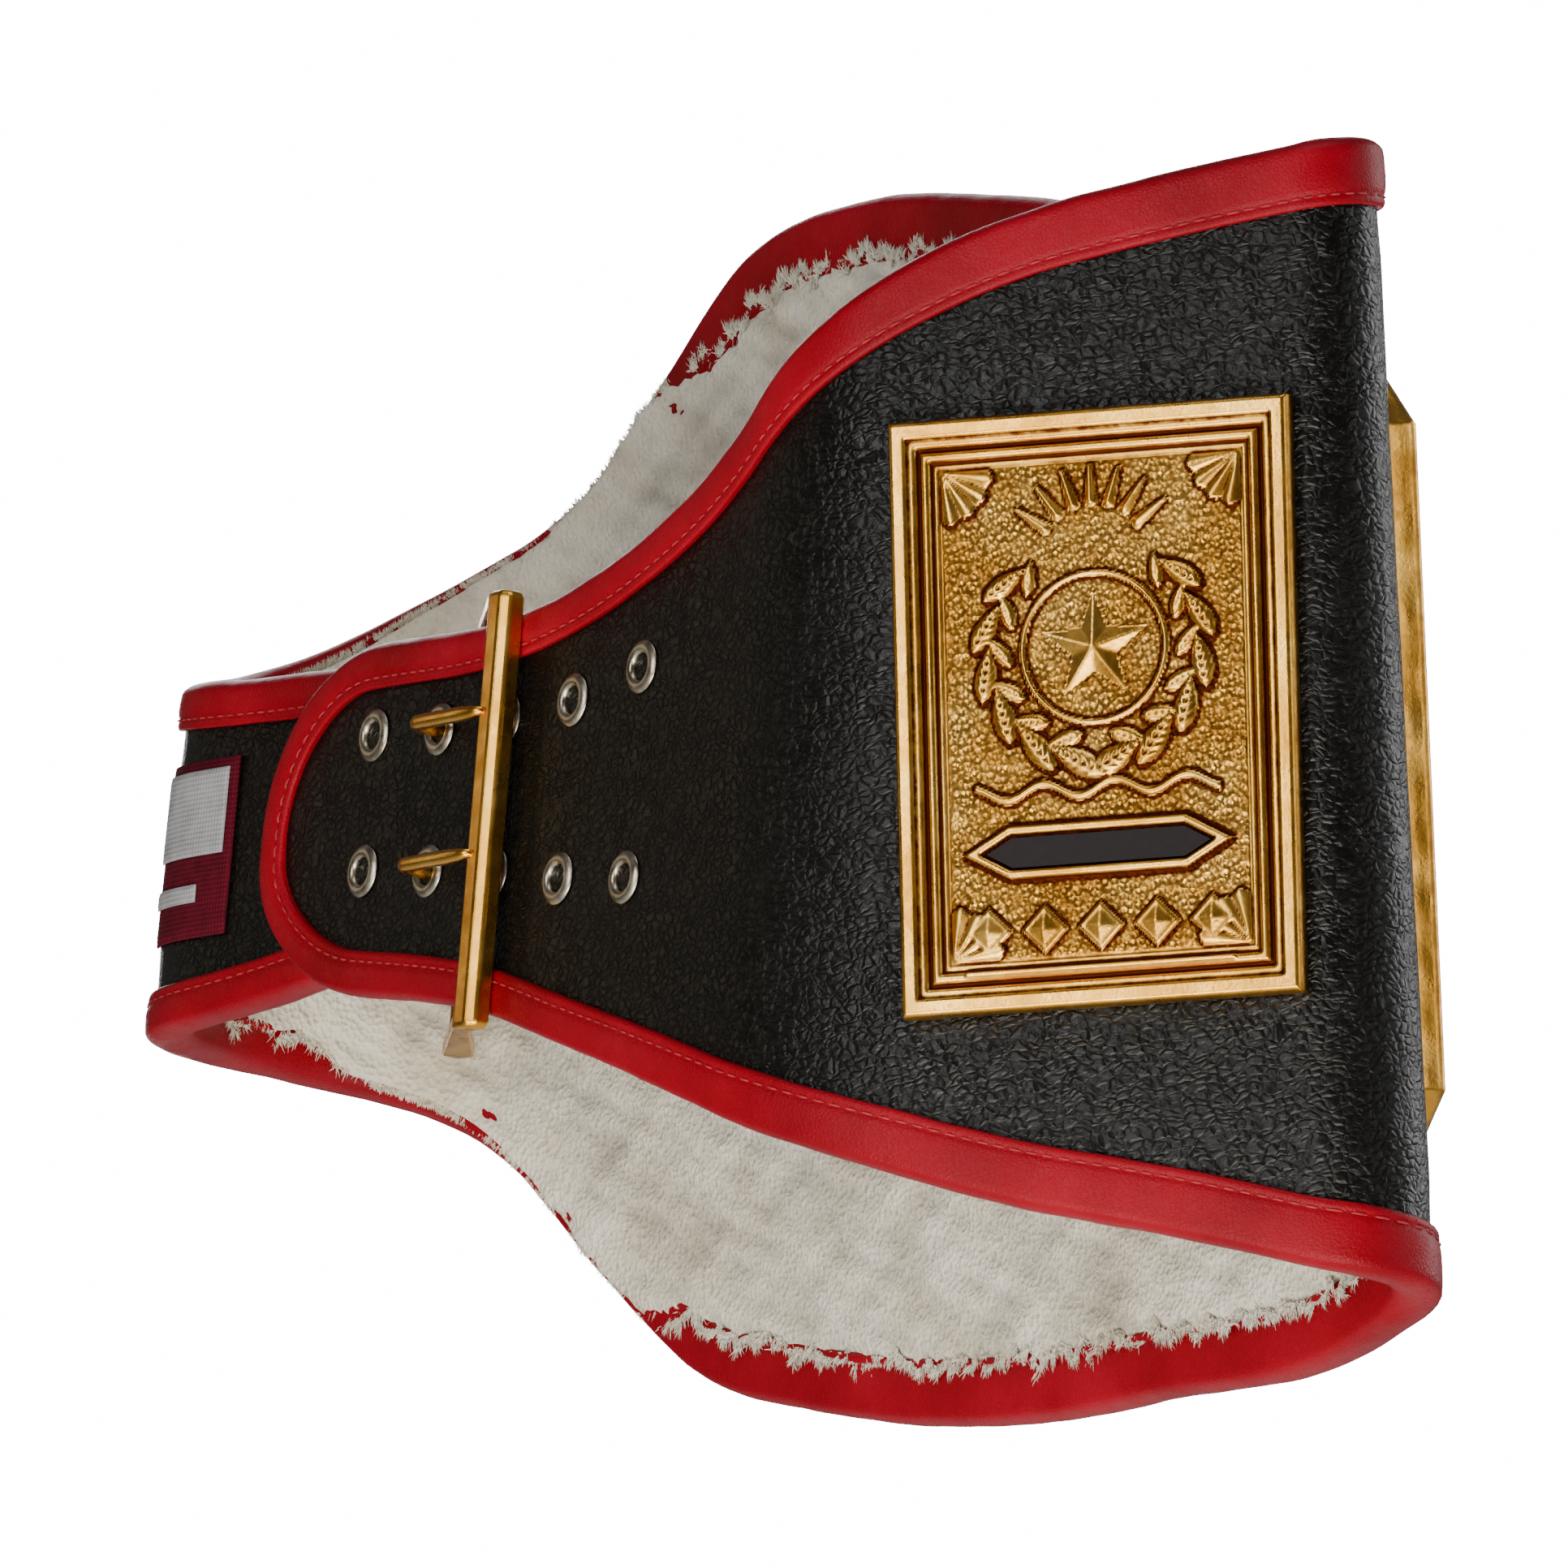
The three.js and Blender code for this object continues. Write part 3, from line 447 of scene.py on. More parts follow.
def leather_material():
    n = Nodes("black_grain_leather")
    place = n.place()
    swirl = n.add("ShaderNodeTexNoise", Scale=120.0, Detail=3.0)
    n.link(place, swirl.inputs["Vector"])
    scaled = n.add("ShaderNodeVectorMath", operation="SCALE", Scale=0.006)
    n.link(swirl.outputs["Color"], scaled.inputs[0])
    warp = n.add("ShaderNodeVectorMath", operation="ADD")
    n.link(place, warp.inputs[0])
    n.link(scaled.outputs[0], warp.inputs[1])
    squeezed = n.add("ShaderNodeMapping", Scale=(1.0, 1.0, 1.6))
    n.link(warp.outputs[0], squeezed.inputs["Vector"])
    spot = squeezed.outputs[0]
    creases = n.remap(n.cells(330.0, "DISTANCE_TO_EDGE", spot), 0.0, 0.3, 0.0, 1.0)
    pores = n.remap(n.cells(1100.0, "DISTANCE_TO_EDGE", spot), 0.0, 0.25, 0.0, 1.0)
    folds = n.noise(170.0, 2.5, 0.5, spot)
    grain = n.plus(n.math("MULTIPLY", creases, 0.9), pores, 0.1)
    height = n.plus(grain, folds, 2.2)
    n.bump(height, 0.00026, 0.9)
    rough = n.remap(n.noise(40.0, 4.0, 0.6), 0.3, 0.7, 0.27, 0.40)
    color = n.ramp(creases, [(0.0, (0.0015, 0.0013, 0.001)), (1.0, (0.0045, 0.004, 0.003))])
    return n.set(Base_Color=color, Roughness=rough, Specular_IOR_Level=0.22)


def red_material():
    n = Nodes("crimson_binding_leather")
    creases = n.remap(n.cells(900.0, "DISTANCE_TO_EDGE"), 0.0, 0.25, 0.0, 1.0)
    folds = n.noise(140.0, 4.0)
    height = n.plus(folds, creases, 0.4)
    n.bump(height, 0.00022, 0.6)
    wear = n.noise(22.0, 4.0)
    shades = [(0.3, (0.17, 0.0002, 0.005)), (0.55, (0.24, 0.0004, 0.008)), (0.75, (0.30, 0.0015, 0.013))]
    rough = n.remap(folds, 0.3, 0.7, 0.36, 0.5)
    return n.set(Base_Color=n.ramp(wear, shades), Roughness=rough, Specular_IOR_Level=0.13)


def fleece_material(name, shade):
    n = Nodes(name)
    blotch = n.noise(28.0, 5.0, 0.65)
    shades = [(0.3, (0.66, 0.58, 0.43)), (0.5, (0.85, 0.78, 0.63)), (0.72, (0.92, 0.88, 0.76))]
    # Painted shade: the colour darkens where the pile attribute is low, in the hollows between lumps and on
    # the lower fibres, down to the shade share of the colour.
    depth = n.remap(n.attribute("pile"), 0.0, 1.0, shade, 1.0)
    color = n.mix(1.0, n.ramp(blotch, shades), depth, "MULTIPLY")
    curls = n.math("ADD", n.noise(420.0, 5.0, 0.75), n.cells(650.0))
    n.bump(curls, 0.0011, 1.0)
    return n.set(Base_Color=color, Roughness=0.95, Specular_IOR_Level=0.1, Sheen_Weight=0.25)


def gold_material(name, attributes=True):
    n = Nodes(name)
    tone = n.noise(45.0, 4.0, 0.6)
    shades = [(0.3, (0.46, 0.20, 0.024)), (0.5, (0.66, 0.33, 0.048)), (0.72, (0.80, 0.47, 0.10))]
    color = n.ramp(tone, shades)
    scratches = n.noise(900.0, 3.0, 0.7)
    rough = n.remap(n.noise(160.0, 4.0), 0.3, 0.7, 0.22, 0.36)
    if attributes:
        age = n.plus(n.attribute("recess"), n.noise(260.0, 4.0, 0.7), 0.5)
        age = n.remap(age, 0.38, 0.72, 0.0, 1.0)
        color = n.mix(age, color, (0.06, 0.010, 0.003))
        rough = n.plus(rough, age, 0.25)
        stipple = n.math("MULTIPLY", n.cells(700.0), n.attribute("field"))
        n.bump(n.plus(stipple, scratches, 0.15), 0.0007, 0.8)
    else:
        n.bump(scratches, 0.00005, 0.5)
    return n.set(Base_Color=color, Metallic=1.0, Roughness=rough)


def metal_material(name, light, dark, rough):
    n = Nodes(name)
    tone = n.noise(300.0, 4.0)
    n.bump(n.noise(1400.0, 2.0), 0.00004, 0.5)
    color = n.ramp(tone, [(0.3, dark), (0.65, light)])
    roughness = n.remap(tone, 0.3, 0.7, rough, rough + 0.15)
    return n.set(Base_Color=color, Metallic=1.0, Roughness=roughness)


def enamel_material():
    n = Nodes("dark_enamel")
    tone = n.noise(120.0, 4.0)
    n.bump(n.noise(500.0, 2.0), 0.00008, 0.5)
    return n.set(
        Base_Color=n.ramp(tone, [(0.3, (0.004, 0.003, 0.003)), (0.7, (0.014, 0.009, 0.010))]),
        Roughness=n.remap(tone, 0.3, 0.7, 0.35, 0.5), Specular_IOR_Level=0.12,
    )


def woven_material(name, light, dark):
    n = Nodes(name)
    place = n.place()
    threads = []
    for direction in ("Z", "X"):
        wave = n.add("ShaderNodeTexWave", wave_type="BANDS", bands_direction=direction, Scale=260.0)
        n.link(place, wave.inputs["Vector"])
        threads.append(wave.outputs["Fac"])
    weave = n.math("MULTIPLY", *threads)
    n.bump(weave, 0.0002, 0.8)
    tone = n.plus(n.math("MULTIPLY", weave, 0.5), n.noise(150.0), 0.6)
    color = n.ramp(tone, [(0.2, dark), (0.7, light)])
    return n.set(Base_Color=color, Roughness=0.85, Specular_IOR_Level=0.12)


def thread_material():
    n = Nodes("crimson_thread")
    shades = [(0.3, (0.26, 0.003, 0.009)), (0.7, (0.40, 0.014, 0.022))]
    return n.set(Base_Color=n.ramp(n.noise(400.0), shades), Roughness=0.7)


LEATHER_MAT = leather_material()
RED_MAT = red_material()
# The number after each name is how dark the painted shade goes where the pile is lowest.
FLEECE_MAT = fleece_material("fleece_base", 0.55)
PILE_MAT = fleece_material("fleece_pile", 0.75)
RELIEF_MAT = gold_material("aged_gold_casting")
GOLD_MAT = gold_material("polished_gold", False)
NICKEL_MAT = metal_material("aged_nickel", (0.50, 0.45, 0.36), (0.24, 0.20, 0.15), 0.25)
ENAMEL_MAT = enamel_material()
LABEL_MAT = woven_material("maroon_weave", (0.13, 0.004, 0.016), (0.04, 0.001, 0.005))
THREAD_MAT = thread_material()
PANEL_MAT = woven_material("pale_weave", (0.40, 0.40, 0.41), (0.20, 0.20, 0.21))


# Leather face
def strap_sheet():
    """Top and bottom edge for each station, with the directions out of them and their leg widths."""
    halves = []
    for values in outline(3.0):
        half = len(values) // 2
        halves += [values[:half], values[half:][::-1]]
    return halves


def inside_binding(edge, out):
    return edge - out * (COVER + GAP)


def between(top, bottom, rows):
    return top[:, None, :] + (bottom - top)[:, None, :] * rows[None, :, None]


def build_leather():
    top, bottom, out_top, out_bottom, leg_top, leg_bottom = strap_sheet()
    upper, lower = inside_binding(top, out_top), inside_binding(bottom, out_bottom)
    rows = np.linspace(0, 1, 70)
    flat = between(upper, lower, rows)
    height = (upper[:, 1] - lower[:, 1])[:, None]
    from_top = rows[None, :] * height - leg_top[:, None]
    from_bottom = (1 - rows[None, :]) * height - leg_bottom[:, None]
    from_edge = np.minimum(from_top, from_bottom)
    swell = 0.45 * ease(from_edge / 14.0) - 0.35
    places = worn(flat[..., 0], flat[..., 1], 0.0)
    ripple = 0.10 * sine_noise(places * 1000, 16.0, 3) * ease(from_edge / 10.0)
    outer = worn(flat[..., 0], flat[..., 1], np.minimum(swell + ripple, 0.22))
    back = between(upper, lower, np.linspace(1, 0, 12))
    inner = worn(back[..., 0], back[..., 1], -LEATHER)
    obj = tube("leather_face", np.concatenate([outer, inner], 1), LEATHER_MAT)
    return finish_piece(obj, "leather", "strap_leather")


# Red binding with a rounded edge, a sewn groove and a row of stitches
SEAM = 2.6


def binding_section(leg):
    """Reach and depth of the section's points, for legs of that width."""
    outer, inner = BIND_OUT, -BIND_IN
    middle, half = (outer + inner) / 2, (outer - inner) / 2
    angles = np.linspace(math.pi / 2, -math.pi / 2, 15)
    reach = (BULGE + COVER) * np.maximum(np.cos(angles), 0) ** 0.8 - COVER
    rounded = list(zip(reach, middle + half * np.sin(angles)))
    sewn = SEAM - leg
    outer_leg = [
        (-leg + 0.1, outer - BIND + 0.05), (-leg, outer - 0.9), (-leg + 0.35, outer - 0.35),
        (-leg + 1.2, outer - 0.1), (sewn - 0.7, outer - 0.15), (sewn, outer - 0.55),
        (sewn + 0.7, outer - 0.1),
        (sewn + 1.8, outer + 0.12), (-leg * 0.45, outer + 0.22), (-COVER - 0.8, outer + 0.08),
    ]
    inner_leg = [(r, inner + outer - d) for r, d in reversed(outer_leg)]
    return outer_leg + rounded + inner_leg


def build_binding():
    places, out, legs = outline(3.5)
    rings = []
    for place, direction, leg in zip(places, out, legs):
        section = np.array(binding_section(leg))
        spots = place + direction * section[:, :1]
        rings.append(worn(spots[:, 0], spots[:, 1], section[:, 1]))
    rings = np.array(rings)
    wobble = 0.12 * sine_noise(rings * 1000, 9.0, 11)
    outward = rings - rings.mean(1, keepdims=True)
    size = np.linalg.norm(outward, axis=2, keepdims=True)
    rings = rings + outward / np.maximum(size, 1e-6) * (wobble[..., None] * 0.001)
    obj = tube("edge_binding_red", rings, RED_MAT, closed=True)
    return finish_piece(obj, "red_leather", "edge_binding")


def build_stitches():
    places, out, legs = outline(3.5)
    line = places - out * (legs - SEAM)[:, None]
    steps = np.linalg.norm(np.roll(line, -1, 0) - line, axis=1)
    run = np.concatenate([[0], np.cumsum(steps)])
    closed = np.concatenate([line, line[:1]])
    verts, faces = [], []
    pitch, length, radius, sides = 4.2, 2.9, 0.32, 6
    marks = np.array([0, 0.5, 1])
    swelling = ((0, 0.35), (0.2, 0.95), (0.5, 1.0), (0.8, 0.95), (1.0, 0.35))
    ring = np.linspace(0, 2 * math.pi, sides, endpoint=False)
    for start in np.arange(0, run[-1] - pitch, pitch):
        w, z = (np.interp(start + length * marks, run, closed[:, k]) for k in (0, 1))
        along = np.array([w[2] - w[0], z[2] - z[0]])
        along /= max(np.linalg.norm(along), 1e-6)
        across = np.array([-along[1], along[0]])
        for t, size in swelling:
            cw, cz = np.interp(t, marks, w), np.interp(t, marks, z)
            lift = BIND_OUT - 0.45 + 0.30 * math.sin(math.pi * t)
            verts.append(worn(
                cw + across[0] * radius * size * np.cos(ring),
                cz + across[1] * radius * size * np.cos(ring),
                lift + radius * size * np.sin(ring),
            ))
        first = (len(verts) - len(swelling)) * sides
        last = (len(verts) - 1) * sides
        faces += grid_faces(len(swelling), sides, False, True, first)
        faces += [list(range(first, first + sides))[::-1], list(range(last, last + sides))]
    obj = make_object("binding_stitches", np.concatenate(verts), faces, THREAD_MAT)
    return finish_piece(obj, "red_leather")


# Fleece lining: a lumpy base that spills over the binding, with tufts of short fibres on it
PILE = 2.0
SPILL_TOP, SPILL_BOTTOM = (-302, 95, 50), (-295, 58, 40)


def fleece_height(points_mm):
    lumps = sine_noise(points_mm, 4.5, 21, 9)
    wide = sine_noise(points_mm, 15.0, 22, 7)
    return PILE + 0.7 * lumps + 0.5 * wide


def spilling(w, spill):
    """1 on the far tapers, where the pile covers the inner side of the binding."""
    centre, half, soft = spill
    return bump(w - centre, half, soft)


def bare_leg(w, leg, spill):
    return leg + (0.6 - leg) * spilling(w, spill)


def pressed(w):
    """0 where the tail lies on the strap's other end, so its pile is pressed flat there."""
    return np.where(w > BUCKLE_END + LOOP - 14, 0.0, 1.0)


def build_fleece():
    top, bottom, out_top, out_bottom, leg_top, leg_bottom = strap_sheet()
    upper, lower = inside_binding(top, out_top), inside_binding(bottom, out_bottom)
    rows = np.linspace(0, 1, 130)
    flat = between(upper, lower, rows)
    height = (upper[:, 1] - lower[:, 1])[:, None]
    bare_top = bare_leg(top[:, :1], leg_top[:, None], SPILL_TOP)
    bare_bottom = bare_leg(bottom[:, :1], leg_bottom[:, None], SPILL_BOTTOM)
    from_top = rows[None, :] * height * np.abs(out_top[:, 1:]) - bare_top
    from_bottom = (1 - rows[None, :]) * height * np.abs(out_bottom[:, 1:]) - bare_bottom
    from_edge = np.minimum(np.minimum(from_top, from_bottom), flat[..., 0] - BUCKLE_END - LEG_STRAP)
    base = worn(flat[..., 0], flat[..., 1], -BODY)
    share = rows[None, :] ** 2
    over_top, over_bottom = (spilling(flat[..., 0], spill) for spill in (SPILL_TOP, SPILL_BOTTOM))
    over = over_top * (1 - share) + over_bottom * share
    pile = fleece_height(base * 1000) + 1.3 * over * ease(1 - (from_edge - 4) / 12)
    ragged = 1.6 + 2.0 * over + (2.2 - 1.7 * over) * sine_noise(base * 1000, 6.0, 31, 9)
    grown = ease((from_edge + ragged) / 2.2 + 0.5) * pressed(flat[..., 0])
    inner = worn(flat[..., 0], flat[..., 1], -BODY + 0.1 - pile * grown)
    back = between(upper, lower, np.linspace(1, 0, 6))
    outer = worn(back[..., 0], back[..., 1], -LEATHER - GAP)
    obj = tube("fleece_lining_base", np.concatenate([inner, outer], 1), FLEECE_MAT)
    # Pile height for each point, which the fleece material turns into painted shade where the pile is low;
    # the back side gets a middle value.
    values = np.concatenate([np.clip((pile - 0.9) / 2.2, 0, 1), np.full(outer.shape[:2], 0.5)], 1)
    add_attribute(obj, "pile", values)
    return finish_piece(obj, "fleece", "fleece_lining")


def fibres(name, w, z, aim_w, aim_z, length, rise, width):
    """Short curved blades rooted in the pile, as one piece."""
    root = worn(w, z, -BODY)
    depth = fleece_height(root * 1000)
    rings = []
    for t, lift, wide in ((0, -0.5, 1.0), (0.4, 0.65, 0.85), (0.75, 1.0, 0.55), (1.0, 0.85, 0.1)):
        cw, cz = w + aim_w * length * t, z + aim_z * length * t
        out = -BODY + 0.1 - depth - lift * rise
        for sign in (-1, 1):
            rings.append(worn(cw - sign * aim_z * width * wide, cz + sign * aim_w * width * wide, out))
    verts = np.stack(rings, 1)
    first = (np.arange(len(w)) * 8)[:, None, None]
    quads = np.array([[0, 1, 3, 2], [2, 3, 5, 4], [4, 5, 7, 6]])[None]
    obj = make_object(name, verts, (first + quads).reshape(-1, 4).tolist(), PILE_MAT)
    # A random pile value for each fibre, which the fleece material turns into painted shade, so some fibres
    # are darker than others.
    add_attribute(obj, "pile", np.repeat(rng.uniform(0.35, 1.0, len(w))[:, None], 8, 1))
    return finish_piece(obj, "fleece")


def build_field_fibres(count=18000):
    w = rng.uniform(BUCKLE_END + 12, BUCKLE_END + LOOP - 16, count * 3)
    top, bottom = edge_top(w), edge_bottom(w)
    keep = np.flatnonzero(rng.uniform(0, 290, len(w)) < top - bottom)[:count]
    w, top, bottom = w[keep], top[keep], bottom[keep]
    z = bottom + 11 + (top - bottom - 22) * rng.uniform(0, 1, len(w))
    turn = rng.uniform(0, 2 * math.pi, len(w))
    length = rng.uniform(0.8, 2.4, len(w))
    fibres("fleece_field_fibres", w, z, np.cos(turn), np.sin(turn), length,
           rng.uniform(0.3, 0.9, len(w)), rng.uniform(0.09, 0.17, len(w)))


def build_edge_fibres(clumps=1500, each=12):
    """Tufts along both edges of the pile that lie out over the red binding."""
    for side, edge, leg_spill in (("top", edge_top, SPILL_TOP), ("bottom", edge_bottom, SPILL_BOTTOM)):
        w = np.linspace(BUCKLE_END + 12, BUCKLE_END + LOOP - 16, clumps) + rng.uniform(-0.4, 0.4, clumps)
        z = edge(w)
        slope = (edge(w + 1) - edge(w - 1)) / 2
        away = 1.0 if side == "top" else -1.0
        out_w, out_z = -slope * away, np.full_like(w, away)
        size = np.hypot(out_w, out_z)
        out_w, out_z = out_w / size, out_z / size
        leg = leg_at(w)
        ragged = 1.6 + 2.2 * sine_noise(worn(w, z - away * leg, -BODY) * 1000, 6.0, 31, 9)
        back = np.maximum(bare_leg(w, leg, leg_spill) - ragged + rng.uniform(-0.6, 1.6, clumps), 1.2)
        turn = rng.normal(0, 0.55, clumps)
        reach = rng.uniform(0.7, 1.5, clumps)
        many = [np.repeat(a, each) for a in (w, z, out_w, out_z, back, turn, reach)]
        w, z, out_w, out_z, back, turn, reach = many
        total = len(w)
        turn = turn + rng.normal(0, 0.28, total)
        aim_w = out_w * np.cos(turn) - out_z * np.sin(turn)
        aim_z = out_w * np.sin(turn) + out_z * np.cos(turn)
        length = np.minimum(reach * rng.uniform(1.2, 3.0, total), back + 0.6)
        z = z - out_z * back + rng.uniform(-0.7, 0.7, total)
        w = w - out_w * back + rng.uniform(-0.9, 0.9, total)
        fibres(f"fleece_{side}_tufts", w, z, aim_w, aim_z, length,
               rng.uniform(-0.2, 0.55, total), rng.uniform(0.10, 0.19, total))


# Cast plates: relief over a fine grid
def leaf_height(x, y, cx, cy, angle, length, width):
    u = (x - cx) * math.cos(angle) + (y - cy) * math.sin(angle)
    v = -(x - cx) * math.sin(angle) + (y - cy) * math.cos(angle)
    a = np.clip(u / (length / 2), -1, 1)
    half = width / 2 * (1 - a * a) ** 0.8 * (1 - 0.25 * a)
    body = np.clip(1 - (v / np.maximum(half, 1e-3)) ** 2, 0, 1) ** 0.5
    body = np.where(np.abs(u) < length / 2, body, 0)
    rib = bump(v, 0.25 * width / 8, 0.8) * (np.abs(a) < 0.9)
    veins = 0.12 * np.sin((np.abs(v) * 1.2 - u) * 2 * math.pi / (length * 0.16))
    return body * (1 - 0.28 * rib + veins * (body > 0.35))


def star_height(x, y, cx, cy, radius):
    r = np.hypot(x - cx, y - cy)
    angle = np.arctan2(x - cx, y - cy)
    sector = math.pi / 5
    fold = np.abs(np.mod(angle + sector, 2 * sector) - sector)
    inner = radius * 0.42
    ax, ay = radius, 0.0
    bx, by = inner * math.cos(sector), inner * math.sin(sector)
    cross = ax * by - ay * bx
    reach = cross / (np.cos(fold) * (by - ay) - np.sin(fold) * (bx - ax))
    return np.clip(1 - r / reach, 0, 1)


def ring_height(x, y, cx, cy, radius, width):
    return np.clip(1 - ((np.hypot(x - cx, y - cy) - radius) / (width / 2)) ** 2, 0, 1) ** 0.5


def lozenge_height(x, y, cx, cy, size):
    d = 1 - (np.abs(x - cx) + np.abs(y - cy)) / size
    return np.where(d > 0.28, 0.45 + 0.75 * (d - 0.28), np.clip(d, 0, 0.12) * 4) * (d > 0)


def panel_distance(x, y, width, height):
    """Distance inside the six-sided panel's edge, negative outside it."""
    point = height * 0.9
    slope = math.hypot(point, height / 2)
    ends = ((width / 2 - np.abs(x)) * (height / 2) - np.abs(y) * point) / slope
    return np.minimum(height / 2 - np.abs(y), ends)


def rays_height(x, y, cx, cy, inner, outer, spread, count):
    r = np.hypot(x - cx, y - cy)
    angle = np.arctan2(x - cx, y - cy)
    part = angle / spread * count + count / 2
    inside = (part > 0) & (part < count) & (r > inner) & (r < outer)
    along = np.clip((r - inner) / (outer - inner), 0, 1)
    blade = np.abs(np.mod(part, 1) - 0.5) * 2
    return np.where(inside, np.clip(1 - blade / (0.9 - 0.75 * along), 0, 1) * ease(along * 6), 0)


def relief(x, y, width, height, corner, slab, motif):
    """Height over the seat, how much of the place is open field, for one plate."""
    a, b = width / 2, height / 2
    d = np.minimum(a - np.abs(x), b - np.abs(y))
    if corner:
        d = np.minimum(d, (a + b - corner - np.abs(x) - np.abs(y)) / math.sqrt(2))
    scale = motif["scale"]
    h = FRAME_H * (0.45 + 0.55 * ease(d / 1.0)) * ease((4.3 * scale - d) / 0.7 + 0.5)
    h += 1.35 * ease((d - 4.3 * scale) / 0.5 + 0.5) * ease((6.6 * scale - d) / 0.6 + 0.5)
    h += 1.55 * bump(d - 9.0 * scale, 1.1 * scale, 0.8)
    h += 0.5 * bump(d - 11.4 * scale, 0.35 * scale, 0.5)
    field = ease((d - 12.4 * scale) / 0.8)
    grown = np.zeros_like(x)
    for shape, size in motif["shapes"](x, y):
        grown = np.maximum(grown, shape * size)
    h += grown
    open_field = field * (grown < 0.12)
    hatch = 0.10 * np.abs(np.sin((x + y) * math.pi / 2.3)) * np.abs(np.sin((x - y) * math.pi / 2.3))
    h += hatch * open_field
    return slab + h, open_field


def side_shapes(x, y):
    w, h = SIDE_W, SIDE_H
    reach = (w - 16.8) / 2
    cy = h * 0.1
    yield from wreath_shapes(x, y, cy, reach * 0.66, 6, 2.0)
    yield star_height(x, y, 0, cy, reach * 0.36), 2.3
    yield ring_height(x, y, 0, cy, reach * 0.43, 1.6), 1.0
    yield rays_height(x, y, 0, cy + reach * 0.5, reach * 0.3, reach * 0.56, 2.2, 7), 1.4
    yield from fan_shapes(x, y, w / 2 - 12.8, h / 2 - 12.8, 13.0)
    panel = panel_distance(x, y + h * 0.235, w * 0.56, h * 0.05)
    yield bump(panel + 1.7, 1.1, 0.7), 2.2
    yield scroll(x, y, -h * 0.135, w * 0.62), 1.3
    for k in range(5):
        yield lozenge_height(x, y, (k - 2) * w * 0.14, -h * 0.365, w * 0.062), 2.1
    yield bump(y + h * 0.365 + 9.6, 0.6, 0.6) * (np.abs(x) < w * 0.34), 0.9


def scroll(x, y, cy, width):
    """Waved bead, cut off straight at both ends."""
    line = cy + 1.7 * np.sin(x * math.pi / 9)
    bead = np.clip(1 - ((y - line) / 1.2) ** 2, 0, 1) ** 0.5
    return bead * (np.abs(x) < width / 2)


def wreath_shapes(x, y, cy, radius, leaves, height):
    for k in range(leaves):
        for side in (-1, 1):
            angle = -math.pi / 2 + side * (0.16 + k * 2.45 / leaves)
            lean = angle + side * (math.pi / 2 + 0.35)
            size = radius * (0.56 - 0.02 * k)
            px, py = radius * math.cos(angle), cy + radius * math.sin(angle)
            yield leaf_height(x, y, px, py, lean, size, size * 0.42), height
            lean = angle + side * (math.pi / 2 - 0.5)
            turned, near = angle + side * 0.2, radius * 0.86
            px, py = near * math.cos(turned), cy + near * math.sin(turned)
            yield leaf_height(x, y, px, py, lean, size * 0.7, size * 0.3), height * 0.72


def fan_shapes(x, y, ax, ay, radius):
    """Scalloped quarter fans in the four corners of the field."""
    r = np.hypot(ax - np.abs(x), ay - np.abs(y))
    angle = np.arctan2(ay - np.abs(y), np.maximum(ax - np.abs(x), 1e-6))
    inside = (np.abs(x) < ax) & (np.abs(y) < ay)
    flutes = np.abs(np.sin(angle * 8))
    rim = radius * (1 - 0.08 * (1 - flutes))
    yield np.where(inside & (r < rim), (0.35 + 0.65 * flutes) * (0.35 + 0.65 * r / radius), 0), 1.3


def main_shapes(x, y):
    w, h = MAIN_W, MAIN_H
    cy = h * 0.05
    radius = w * 0.25
    yield from wreath_shapes(x, y, cy, radius, 7, 2.3)
    yield star_height(x, y, 0, cy, radius * 0.55), 2.35
    yield ring_height(x, y, 0, cy, radius * 0.66, 2.6), 1.4
    yield rays_height(x, y, 0, cy, radius * 1.28, radius * 1.62, 2.6, 13), 1.9
    panel = panel_distance(x, y + h * 0.33, w * 0.44, h * 0.055)
    yield bump(panel + 2.2, 1.5, 0.8), 2.3
    for side in (-1, 1):
        for k in range(3):
            yield ring_height(x, y, side * w * 0.4, cy + (k - 1) * 15.0, 4.4, 2.2), 1.8
            yield lozenge_height(x, y, side * w * 0.4, cy + (k - 1) * 15.0, 3.2), 2.0
    for k in range(5):
        yield lozenge_height(x, y, (k - 2) * w * 0.1, -h * 0.405, w * 0.028), 2.1


def blurred(h, rounds):
    """The relief with each inner point mixed with its neighbours, over and over."""
    soft = h.copy()
    for _ in range(rounds):
        beside = soft[:-2, 1:-1] + soft[2:, 1:-1] + soft[1:-1, :-2] + soft[1:-1, 2:]
        soft[1:-1, 1:-1] = (soft[1:-1, 1:-1] * 2 + beside) / 6
    return soft


